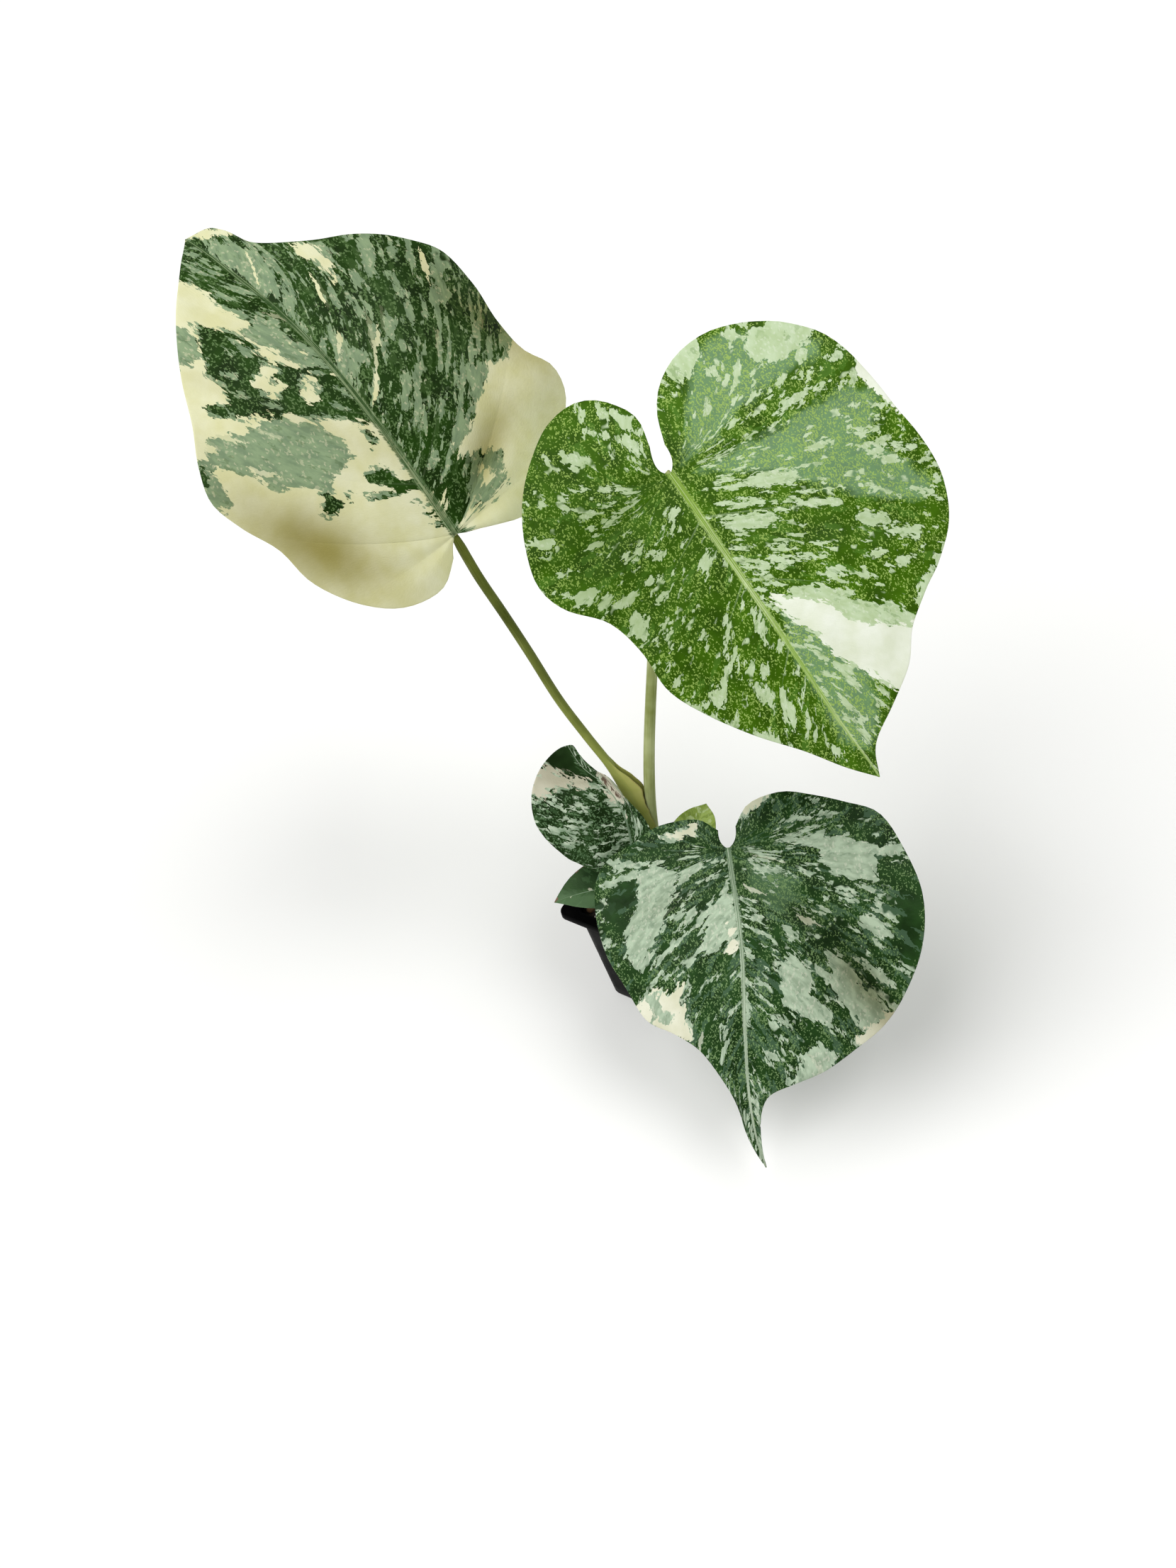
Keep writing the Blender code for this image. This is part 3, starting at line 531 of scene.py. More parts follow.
# what the large blades share, and the small ones
largeLeaf = {"laterals": 7, "quilt": 0.9, "columns": 40, "interval": 18}
smallLeaf = {
    "slot": "leaf_blue_green", "droop": 25, "droopPower": 1.5, "back": 0, "cup": 0.004,
    "veinAngles": [(0, 118), (0.27, 78), (0.6, 60), (1, 34)], "tipward": (0.08, 0.08), "laterals": 3,
    "quilt": 0.2, "waveCount": 1.5, "waveTurn": 0.0, "ribWide": 1.2, "keel": 0.5, "columns": 18,
    "interval": 14, "shadePatches": [], "swells": [],
}

# each blade also lists patches of painted shade (centre, spans, turn, strength), where its colour is darkened
# because it lies turned from the light
leaves = {
    "upperLeft": {
        **largeLeaf, "node": "leaf_upper_left", "slot": "leaf_cream_green", "at": (-51, 50, 311),
        "heading": 133, "pitch": 56, "roll": -15, "length": 194, "droop": 50, "droopPower": 1.6, "back": 10,
        "fold": (0.16, 0.1), "cup": 0.0012, "sway": [(0, 0), (60, -3), (110, -4), (160, -1), (194, 0)],
        "veinAngles": [(0, 118), (0.27, 66), (0.6, 48), (1, 30)], "tipward": (0.17, 0.17), "wave": 2.2,
        "waveCount": 2.5, "waveTurn": 40.0, "ribWide": 1.65, "keel": 1.5, "seed": 11,
        "shadePatches": [((60, -55), (55, 40), 0, 0.22), ((110, 74), (45, 12), 0, 0.16)],
        "swells": [((34, 54), (36, 14), 26, -3.0), ((26, 66), (40, 22), 26, -0.9),
            ((20, -36), (24, 8), 118, -2.6), ((34, -68), (13, 16), 0, 2.0), ((0, 34), (12, 12), 0, 1.5),
            ((66, -80), (34, 13), 16, -2.6), ((92, 30), (50, 5), 30, -0.8)],
        "left": [(-8, 8), (-15, 20), (-14, 33), (-8, 46), (6, 59), (25, 68), (43, 70), (60, 77), (75, 80),
            (90, 74), (107, 63), (127, 52), (147, 38), (165, 23), (184, 8), (194, 0)],
        "right": [(-4, -13), (-12, -27), (-15, -43), (-9, -59), (6, -75), (19, -87), (32, -89), (46, -82),
            (63, -81), (85, -84), (107, -82), (124, -69), (137, -51), (147, -35), (164, -19), (182, -15),
            (191, -11), (194, 0)],
    },
    "upperRight": {
        **largeLeaf, "node": "leaf_upper_right", "slot": "leaf_bright_green", "at": (50, 29, 329),
        "heading": -60, "pitch": -37, "roll": 12, "length": 171, "droop": 30, "droopPower": 1.8, "back": 12,
        "fold": (0.12, -0.12), "cup": 0.001, "sway": [(0, 0), (50, -3), (90, -4), (130, -4), (171, 0)],
        "veinAngles": [(0, 118), (0.27, 70), (0.6, 54), (1, 32)], "tipward": (0.19, 0.14), "wave": 2.0,
        "waveCount": 2.0, "waveTurn": 200.0, "ribWide": 1.6, "keel": 1.5, "seed": 23,
        "shadePatches": [((20, -48), (75, 34), 0, 0.42)],
        "swells": [((2, -24), (30, 9), 100, -0.8), ((60, 40), (45, 7), 62, -0.8)],
        "left": [(-12, 6), (-25, 12), (-35, 21), (-42, 35), (-43, 52), (-37, 69), (-26, 84), (-9, 97),
            (13, 102), (37, 103), (62, 105), (80, 100), (94, 90), (104, 76), (110, 63), (119, 49), (133, 37),
            (145, 20), (156, 5), (171, 0)],
        "right": [(-15, 0), (-30, 4), (-43, -1), (-53, -12), (-53, -28), (-45, -44), (-32, -59), (-15, -70),
            (4, -76), (19, -73), (37, -61), (56, -58), (77, -59), (98, -51), (118, -39), (138, -24),
            (156, -12), (171, 0)],
    },
    "front": {
        **largeLeaf, "node": "leaf_front", "slot": "leaf_blue_green", "at": (42, -39, 148), "heading": -100,
        "pitch": -34, "roll": 0, "length": 170, "droop": 38, "droopPower": 2.0, "back": 14,
        "fold": (0.08, -0.22), "cup": 0.001,
        "sway": [(0, 0), (50, 1), (90, -2), (125, -4), (150, -3), (170, 0)],
        "veinAngles": [(0, 118), (0.27, 74), (0.6, 54), (1, 32)], "tipward": (0.14, 0.12), "wave": 1.8,
        "waveCount": 2.0, "waveTurn": 90.0, "ribWide": 1.15, "keel": 1.4, "seed": 37,
        "shadePatches": [((40, 62), (60, 30), 0, 0.12)],
        "swells": [((78, 62), (36, 9), 31, -2.4), ((34, 30), (30, 7), 60, -1.0),
            ((22, -30), (30, 7), 110, -0.8), ((78, 50), (34, 20), 31, -1.0)],
        "left": [(-11, 5), (-21, 12), (-26, 29), (-23, 44), (-17, 62), (-10, 77), (9, 87), (33, 93), (57, 90),
            (80, 79), (95, 68), (107, 51), (116, 36), (122, 19), (128, 5), (141, 0), (156, -1), (170, 0)],
        "right": [(-10, -4), (-17, -14), (-17, -36), (-10, -50), (-3, -64), (9, -72), (31, -73), (50, -69),
            (67, -61), (85, -52), (93, -38), (102, -26), (118, -16), (133, -10), (150, -7), (170, 0)],
    },
    "folded": {
        **smallLeaf, "node": "leaf_folded", "at": (-6, -9, 122), "heading": 120, "pitch": 55, "roll": -45,
        "length": 72, "droop": 10, "fold": (0.8, 0.8), "cup": 0.003,
        "sway": [(0, 0), (15, -7), (30, -10), (45, -8), (58, -2), (73, 0)], "laterals": 4, "quilt": 0.3,
        "wave": 0.8, "ribWide": 1.1, "keel": 0.8, "seed": 41, "columns": 26, "interval": 16,
        "left": [(-3, 4), (-3, 10), (3, 15), (13, 19), (28, 25), (44, 28), (57, 25), (66, 18), (71, 10),
            (72.5, 4), (72, 0)],
        "right": [(-6, -7), (-5, -14), (6, -21), (20, -21), (31, -17), (41, -14), (49, -13), (53, -9),
            (58, -5), (66, -4), (71, -3), (72, 0)],
    },
    "smallLeft": {
        **smallLeaf, "node": "leaf_small_left", "at": (-17, -10, 105), "heading": 177, "pitch": 3,
        "roll": -10, "length": 37, "fold": (0.3, 0.3), "sway": [(0, 0), (37, 0)], "wave": 0.4, "seed": 53,
        "left": [(-5, 4), (-6, 9), (2, 13), (14, 12), (24, 8), (32, 3), (37, 0)],
        "right": [(-5, -4), (-6, -10), (2, -15), (13, -16), (24, -11), (32, -5), (37, 0)],
    },
    "smallRight": {
        **smallLeaf, "node": "leaf_small_right", "at": (25, -9, 121), "heading": 45, "pitch": 39, "roll": 10,
        "length": 26, "fold": (0.5, 0.5), "sway": [(0, 0), (26, 0)], "wave": 0.3, "seed": 61,
        "left": [(-4, 4), (-3, 9), (5, 12), (12, 11), (19, 7), (26, 0)],
        "right": [(-4, -4), (-3, -9), (5, -13), (13, -12), (20, -8), (26, 0)],
    },
}

# Patches of each blade in leaf millimetres (along the midrib, away from it), painted in this order:
# (kind, points) fills a closed area, (kind, points, half width) draws a band along the points.
# silver patches are partly the skin's own cooler silvery tone and partly painted sheen, where a bright window
# is reflected
patches = {
    "upperLeft": [
        ("cream", [(190, 26), (161, 17), (143, 16), (130, 12), (108, 5), (86, -2), (62, 0), (36, -2), (2, -1),
            (-14, 4), (-24, 20), (-16, 48), (14, 72), (44, 78), (66, 90), (90, 86), (116, 66), (150, 44)]),
        ("mint", [(131, 8), (121, 2), (100, 0), (85, -4), (100, 7), (114, 13), (126, 17)]),
        ("green", [(143, 29), (131, 22), (122, 18), (108, 16), (96, 6), (88, -3), (72, -4), (60, -1),
            (76, 14), (87, 29), (94, 42), (104, 54), (112, 53), (106, 44), (115, 40), (120, 43), (133, 36)]),
        ("cream", [(106, 20), (104, 26)], 3.2), ("cream", [(93, 9), (88, 13)], 3.4),
        ("cream", [(98, 22), (97, 27)], 2.4), ("mint", [(126, 23), (119, 22)], 1.6),
        ("mint", [(98, 60), (92, 49), (88, 36), (78, 20), (62, 14), (53, 19), (52, 36), (58, 46), (64, 55),
            (76, 58), (84, 68), (82, 76), (92, 70)]),
        ("mint", [(152, 40), (144, 33), (130, 38), (129, 45), (134, 54)]),
        ("mint", [(96, 72), (82, 69), (70, 74), (71, 84), (84, 84)]), ("green", [(88, 75), (84, 77)], 2.0),
        ("green", [(48, 17), (43, 9), (34, 4), (32, -2), (26, 0), (30, 10), (37, 14), (42, 20)]),
        ("green", [(50, 39), (42, 28), (40, 33), (40, 42), (46, 44)]),
        ("green", [(40, 31), (35, 20), (30, 10)], 0.3),
        ("green", [(23, 7), (18, 2), (12, 0), (4, 0), (8, 5), (16, 6)]), ("green", [(62, 3), (54, 5)], 1.8),
        ("cream", [(2, -3), (4, -12), (2, -23), (4, -36), (16, -42), (22, -35), (26, -22), (30, -21),
            (32, -36), (44, -54), (51, -62), (48, -72), (54, -82), (48, -92), (28, -98), (0, -84), (-22, -60),
            (-24, -24)]),
        ("mint", [(56, -48), (52, -62), (43, -55), (38, -44), (32, -36), (28, -22), (25, -14), (34, -24),
            (44, -36)]),
        ("mint", [(22, -26), (20, -38), (16, -42), (10, -36), (4, -36), (2, -23), (4, -10), (12, -19)]),
        ("cream", [(14, -30), (8, -27)], 1.6),
        ("green", [(18, -7), (20, -16), (18, -22), (11, -16), (4, -4), (10, -4)]),
        ("green", [(48, -46), (41, -40)], 1.8),
        ("cream", [(150, -33), (141, -37), (132, -38), (120, -34), (121, -32), (132, -32), (142, -30)]),
        ("mint", [(180, -6), (164, -16), (150, -17), (138, -10), (136, -2), (158, -3), (172, -2)]),
        ("cream", [(196, 0), (188, -8), (180, -14)], 3.0), ("mint", [(104, -12), (86, -16)], 2.2),
        ("mint", [(136, -14), (120, -6)], 2.0), ("mint", [(112, -33), (90, -29)], 1.4),
        ("mint", [(108, -56), (88, -46)], 2.0), ("mint", [(100, -74), (88, -68)], 2.0),
        ("mint", [(68, -28), (58, -18)], 1.8),
    ],
    "upperRight": [
        ("mint", [(72, 12), (80, 24), (95, 34), (106, 46), (120, 54), (114, 36), (102, 24), (88, 16),
            (78, 8)]),
        ("cream", [(68, 1), (76, 8), (86, 20), (102, 26), (112, 38), (122, 56), (140, 44), (142, 28),
            (122, 18), (110, 11), (90, 8), (86, 4), (76, 3)]),
        ("mint", [(102, 82), (106, 68), (112, 58)], 2.6),
        ("mint", [(-32, 70), (-28, 86), (-14, 104), (-12, 86), (-12, 72), (-16, 63), (-25, 62)]),
        ("mint", [(-48, 34), (-46, 50), (-34, 44), (-28, 30), (-38, 28)]),
        ("cream", [(6, 106), (22, 110), (38, 110), (38, 102), (24, 100), (14, 97)]),
        ("silver", [(0, 6), (-10, 16), (-22, 26), (-36, 40), (-40, 56), (-30, 70), (-18, 84), (-8, 94),
            (-3, 88), (-4, 70), (-5, 56), (-3, 41), (0, 24)]),
        ("silver", [(6, 8), (9, 31), (12, 53), (13, 72), (16, 92), (28, 100), (34, 92), (40, 82), (56, 90),
            (74, 98), (78, 86), (62, 66), (38, 44), (19, 26)]),
        ("silver", [(79, 3), (94, 14), (126, 20), (145, 14), (156, 1), (146, -8), (118, -6), (92, -5)]),
    ],
    "front": [
        ("mint", [(8, -51), (2, -38), (9, -26), (18, -30), (36, -38), (50, -48), (58, -52), (54, -56),
            (40, -58), (22, -51)]), ("mint", [(14, -2), (32, 1), (44, 2), (50, -10), (52, -22), (34, -16)]),
        ("cream", [(50, -4), (42, -3)], 1.8),
        ("mint", [(-2, 26), (-4, 43), (0, 60), (8, 74), (24, 71), (23, 60), (16, 49), (4, 42), (0, 28)]),
        ("mint", [(60, 19), (54, 27), (66, 33), (75, 33), (87, 42), (96, 42), (90, 34), (88, 26), (80, 18)]),
        ("mint", [(56, 42), (60, 50), (72, 56), (87, 68), (96, 66), (100, 58), (92, 51), (76, 44), (68, 44)]),
        ("mint", [(120, 16), (106, 26), (100, 34), (109, 42), (118, 38), (126, 22)]),
        ("cream", [(104, 50), (94, 60), (90, 76), (98, 76), (108, 60)]),
        ("cream", [(76, -56), (68, -46), (66, -33), (80, -33), (96, -28), (94, -44), (84, -56)]),
        ("mint", [(74, -48), (84, -42)], 3.0),
        ("cream", [(-10, -34), (-12, -31), (-13, -22), (-14, -14), (-11, -16), (-9, -22), (-8, -28)]),
        ("cream", [(-18, 10), (-28, 24), (-24, 14)], 2.4),
        ("green", [(64, -40), (64, -34), (71, -34), (72, -40)]),
        ("plain", [(13, -62), (10, -50), (22, -52), (34, -62), (26, -68)]),
        ("plain", [(36, 86), (60, 84)], 5.0), ("silver", [(4, 8), (12, 26), (30, 34), (36, 20), (22, 8)]),
    ],
    "folded": [
        ("plain", [(76, 8), (71, 0), (64, -1), (50, -5), (54, 4), (62, 9), (72, 12)]),
        ("cream", [(62, 24), (70, 12), (63, 10), (56, 5), (50, -3), (47, -1), (55, 11), (55, 22)]),
        ("cream", [(54, -18), (40, -18), (32, -13), (35, -8), (44, -8), (51, -9), (56, -12)]),
        ("brown", [(52, -12), (47, -10), (42, -11), (36, -13)], 0.9),
    ],
    "smallLeft": [
        ("silver", [(2, 8), (20, 6), (32, 1)], 6.0), ("plain", [(0, 0), (30, 0)], 22.0),
        ("brown", [(36, -1), (39, 0)], 1.6), ("brown", [(0, -16), (14, -16.5), (24, -12)], 1.0),
    ],
    "smallRight": [
        ("mint", [(4, 3), (14, 4)], 1.6),
    ],
}

# Short dashes that lie along the veins: (start a, b, end a, b, half width in the middle)
dashes = {
    "upperLeft": [
        (128, 31, 120, 27, 1.6), (108, 40, 102, 34, 1.8), (104, 9, 98, 6, 1.5), (98, 33, 90, 28, 1.5),
        (112, 17, 106, 12, 1.3), (84, 1, 76, -2, 1.5), (80, 8, 72, 4, 1.4), (118, 37, 112, 33, 1.4),
    ],
    "upperRight": [
        (7, 54, 6, 74, 2.6), (-1, 88, 4, 100, 2.6), (8, 76, 12, 86, 1.7), (7, 18, 8, 30, 1.2),
        (21, 21, 38, 49, 4.2), (24, 8, 36, 26, 2.4), (40, 32, 57, 54, 2.2), (31, 2, 46, 28, 4.6),
        (64, 55, 76, 67, 4.0), (78, 62, 90, 80, 3.2), (82, 48, 86, 60, 1.7), (91, 56, 96, 68, 2.6),
        (56, 8, 71, 33, 1.5), (74, 26, 82, 37, 2.0), (43, 82, 56, 100, 1.9), (46, 78, 53, 86, 2.4),
        (56, 66, 62, 74, 2.2), (67, 84, 80, 94, 1.7), (55, 3, 67, 18, 1.5), (42, 0, 48, 8, 1.2),
        (52, 14, 57, 22, 1.7), (-29, 45, -23, 44, 2.4), (-30, 56, -30, 60, 1.9), (33, 88, 36, 95, 1.7),
        (26, 79, 28, 84, 1.7), (30, 63, 34, 69, 1.7), (62, -4, 68, 4, 1.5), (-42, -4, -22, 0, 2.6),
        (-39, -18, -28, -10, 2.0), (-28, -7, -14, -6, 2.6), (-35, -34, -27, -26, 2.9),
        (-23, -40, -16, -34, 1.5), (-12, -26, -2, -17, 1.5), (14, -15, 16, -7, 2.6),
        (-18, -48, -14, -44, 2.6), (-8, -34, -4, -27, 1.2), (0, -40, 2, -30, 1.5), (4, -52, 6, -42, 1.5),
        (18, -43, 19, -29, 2.0), (26, -30, 26, -23, 2.6), (20, -22, 22, -10, 1.2), (44, -18, 38, -7, 2.6),
        (19, -70, 22, -56, 5.0), (32, -40, 35, -31, 1.7), (42, -40, 42, -34, 2.2), (40, -50, 53, -54, 5.0),
        (49, -40, 60, -46, 2.2), (65, -18, 78, -27, 1.7), (69, -6, 86, -12, 2.0), (88, -42, 98, -45, 4.2),
        (98, -26, 112, -26, 2.9), (105, -18, 128, -23, 2.9), (140, -14, 154, -10, 1.5),
        (88, -56, 108, -46, 1.5), (112, -42, 132, -28, 2.2), (64, -32, 70, -33, 1.7), (136, 4, 144, 6, 2.0),
        (98, 3, 110, 7, 1.5), (116, 9, 130, 12, 1.8), (122, 2, 136, 4, 1.4), (104, 13, 116, 16, 1.6),
        (146, 3, 153, 2, 1.4), (112, -2, 124, -1, 1.3),
    ],
    "front": [
        (39, 58, 53, 76, 3.4), (60, 54, 78, 77, 2.6), (32, 4, 38, 12, 2.4), (84, 9, 91, 20, 2.2),
        (46, 2, 58, 6, 1.5), (26, 50, 34, 61, 2.2), (32, 67, 39, 74, 2.2), (42, 23, 50, 30, 2.4),
        (11, 15, 16, 29, 1.2), (1, 8, 9, 26, 1.5), (6, 10, 18, 17, 1.2), (6, -17, 6, -2, 1.2),
        (15, -14, 10, -4, 1.2), (40, -30, 26, -19, 2.2), (4, -64, 0, -47, 2.0), (44, -74, 40, -66, 2.4),
        (67, -28, 80, -32, 1.2), (69, 0, 89, 0, 1.2), (104, 7, 106, 14, 2.2), (88, -13, 98, -12, 2.0),
        (4, 78, 6, 83, 2.2), (-11, 29, -12, 56, 1.7), (-20, 42, -18, 54, 1.5), (131, -8, 152, -4, 1.7),
        (124, -1, 143, 0, 1.5), (148, -2, 167, -1, 1.2),
    ],
    "folded": [
        (43, 14, 42, 8, 1.2), (46, 6, 40, -2, 1.2), (49, 0, 44, -5, 1.2), (54, 18, 46, 14, 1.4),
        (34, 16, 24, 14, 1.0), (16, 10, 8, 12, 1.0), (32, -7, 24, -8, 1.2),
    ],
}


def leafAxes(leaf):
    # along the midrib, across it to the left, and up out of the blade
    (east, north), (flat, rise), (even, tilt) = [arrowAt(leaf[key]) for key in ("heading", "pitch", "roll")]
    along = np.array([flat * east, flat * north, rise])
    level = np.array([-north, east, 0.0])
    upright = np.cross(along, level)
    return along, even * level + tilt * upright, even * upright - tilt * level


def midribSway(leaf, a):
    return np.interp(a, *smoothLine(leaf["sway"], np.linspace(0, 1, 80)).T)


def bladePoints(leaf, a, b, lift):
    along, across, normal = leafAxes(leaf)
    s = np.linspace(-90, leaf["length"] * 1.1, 1600)
    bend = np.where(s > 0, math.radians(leaf["droop"]) * np.abs(s / leaf["length"]) ** leaf["droopPower"],
                    -math.radians(leaf["back"]) * np.abs(s / leafRule["backSpan"]))
    out, drop = [np.cumsum(part) * (s[1] - s[0]) for part in (np.cos(bend), -np.sin(bend))]
    angle = np.interp(a, s, bend)
    beside = b - midribSway(leaf, a)
    fold = np.where(beside > 0, *leaf["fold"])
    rounding = leafRule["foldRounding"]
    rise = fold * (np.sqrt(beside * beside + rounding ** 2) - rounding) - leaf["cup"] * beside * beside + lift
    u = np.interp(a, s, out) - np.interp(0, s, out) + np.sin(angle) * rise
    w = np.interp(a, s, drop) - np.interp(0, s, drop) + np.cos(angle) * rise
    return np.array(leaf["at"], float) + u[:, None] * along + w[:, None] * normal + b[:, None] * across


def bladeSheet(leaf):
    # rows of points from the midrib to the margin, one along each vein, closer beside the side veins
    edge, far = np.array(leafRule["nearVein"]), leafRule["farFromEdge"]
    inner = np.linspace(*leafRule["betweenVeins"], leaf["interval"] - 6)
    one = np.concatenate([edge, inner, 1 - edge[:0:-1]])
    laterals, basal = leaf["laterals"], leafRule["basalShare"]
    share = np.concatenate([(k + one) / laterals for k in range(laterals)] + [[1.0]])
    rows = len(share) - 1
    root = leaf["length"] * np.clip((share - basal) / (1 - basal), 0, 1) ** leafRule["veinPower"]
    ribB = midribSway(leaf, root)
    arrows = arrowAt(np.interp(share, *np.array(leaf["veinAngles"], float).T))
    near, margins = np.array(leafRule["nearRib"]), np.array(leafRule["nearMargin"])
    sheet = {key: [] for key in ("a", "b", "share", "reach", "run", "edge", "round")}

    def put(*values):
        for key, value in zip(sheet, values):
            sheet[key].append(value)
        return len(sheet["a"]) - 1

    rib = []
    for i in range(rows):
        rib.append(rib[0] if i and root[i] == 0 else put(root[i], ribB[i], share[i], 0.0, 0.0, far, share[i]))
    tip = put(*leaf["left"][-1], 1.0, 0.0, 0.0, 0.0, 1.0)
    grids = []
    for side, outline, tipward in zip((1, -1), ("left", "right"), leaf["tipward"]):
        turned = share + tipward * np.sin(np.pi * share)
        margin = smoothLine(leaf[outline], turned)
        grid = []
        for i in range(rows):
            start = np.array([root[i], ribB[i]])
            length = np.linalg.norm(margin[i] - start)
            bow = start + leafRule["veinPull"] * length * arrows[i] * (1, side)
            squeeze = min(1.0, length / leafRule["shortRow"])
            first, last = near * squeeze, length - margins * squeeze
            runs = np.concatenate([first[:-1], np.linspace(first[-1], last[0], leaf["columns"]), last[1:]])
            line = [rib[i]]
            for run in runs:
                v = run / length
                p = (1 - v) ** 2 * start + 2 * v * (1 - v) * bow + v * v * margin[i]
                fromEdge = min(length - run, far if i > 2 else leafRule["notchEdge"][i])
                line.append(put(p[0], p[1], share[i], v, run, fromEdge, turned[i]))
            grid.append(line)
        grids.append(grid)
    return {key: np.array(value) for key, value in sheet.items()}, rib, tip, grids, rows


def areaField(points, a, b, halfWidth=None, pointed=False):
    # millimetres inside (+) or outside (-) of a closed area or a band, which can be pointed at both ends
    corners = np.array(points, float)
    place = np.stack([a, b], axis=1)
    best = np.full(len(a), -1e9)
    inside = np.zeros(len(a), bool)
    count = len(corners)
    for i in range(count if halfWidth is None else count - 1):
        p, q = corners[i], corners[(i + 1) % count]
        along = np.clip((place - p) @ (q - p) / max((q - p) @ (q - p), 1e-9), 0, 1)
        away = np.linalg.norm(place - p - along[:, None] * (q - p), axis=1)
        taper = 0.85 - 0.8 * np.abs(2 * along - 1) ** 2.4 if pointed else 1
        best = np.maximum(best, (halfWidth or 0) * taper - away)
        if halfWidth is None and p[1] != q[1]:
            crossing = (p[1] > b) != (q[1] > b)
            inside ^= crossing & (a < p[0] + (b - p[1]) / (q[1] - p[1]) * (q[0] - p[0]))
    return best if halfWidth is not None else np.where(inside, -best, best)


def paintFields(name, a, b):
    # pale: not green; cream: no green at all; dash: small pale strokes; plain: green without flecks
    # silver: the skin's own cooler tone together with a painted sheen, the reflection of a bright window
    fields = {key: np.full(len(a), -12.0) for key in (
        "pale", "cream", "dash", "plain", "silver", "brown", "green")}
    for kind, points, *halfWidth in patches.get(name, []):
        field = areaField(points, a, b, *halfWidth)
        if kind in ("plain", "silver", "brown", "green"):
            fields[kind] = np.maximum(fields[kind], field)
        if kind in ("mint", "cream", "green", "plain"):
            for key, adds in (("pale", kind in ("mint", "cream")), ("cream", kind == "cream")):
                fields[key] = np.maximum(fields[key], field) if adds else np.minimum(fields[key], -field)
    for *ends, halfWidth in dashes.get(name, []):
        field = areaField(np.reshape(ends, (2, 2)), a, b, halfWidth, True)
        fields["dash"] = np.maximum(fields["dash"], field)
    return fields


def swellAt(swell, a, b):
    # one soft bulge (+) or hollow (-)
    place, spans, turn, height = swell
    (c, s), da, db = arrowAt(turn), a - place[0], b - place[1]
    return height * np.exp(-((c * da + s * db) / spans[0]) ** 2 - ((c * db - s * da) / spans[1]) ** 2)


def bladeLift(leaf, sheet, size):
    t, v, a, b, turned = [sheet[key] for key in ("share", "reach", "a", "b", "round")]
    lift = leaf["quilt"] * np.sin(np.pi * v) * (0.5 - 0.5 * np.cos(2 * np.pi * leaf["laterals"] * t))
    turn = 2 * np.pi * leaf["waveCount"] * turned + math.radians(leaf["waveTurn"])
    turn += np.where(b > 0, 0.0, leafRule["waveLag"])
    lift += leaf["wave"] * v ** 3 * np.sin(turn) * np.sin(np.pi * turned)
    high, wide = leafRule["bumps"]
    lift += high * size * softNoise(leaf["seed"], a, b, wide * size) * np.clip(v * leafRule["fadeIn"], 0, 1)
    (high, wide), (bandLong, bandWide) = leafRule["marginBumps"], leafRule["marginBand"]
    lift += high * size * softNoise(leaf["seed"] + 1, turned * bandLong, v * bandWide, wide) * v ** 4
    return lift + sum(swellAt(swell, a, b) for swell in leaf["swells"])


def bladeFaces(grids, rows, tip):
    faces = []
    for number, grid in enumerate(grids):
        for i in range(rows):
            for j in range(len(grid[0]) - 1):
                corner = [grid[i][j], grid[i][j + 1]]
                corner += [grid[i + 1][j + 1], grid[i + 1][j]] if i + 1 < rows else [tip]
                corner = list(dict.fromkeys(corner))
                faces.append(corner if number else corner[::-1])
    return faces


def pointNormals(points, faces, up):
    normals = np.zeros_like(points)
    for corner in faces:
        edges = points[corner[1:]] - points[corner[0]]
        normals[corner] += sum(np.cross(p, q) for p, q in zip(edges, edges[1:]))
    normals /= np.maximum(np.linalg.norm(normals, axis=1), 1e-12)[:, None]
    return normals if normals[0] @ up > 0 else -normals


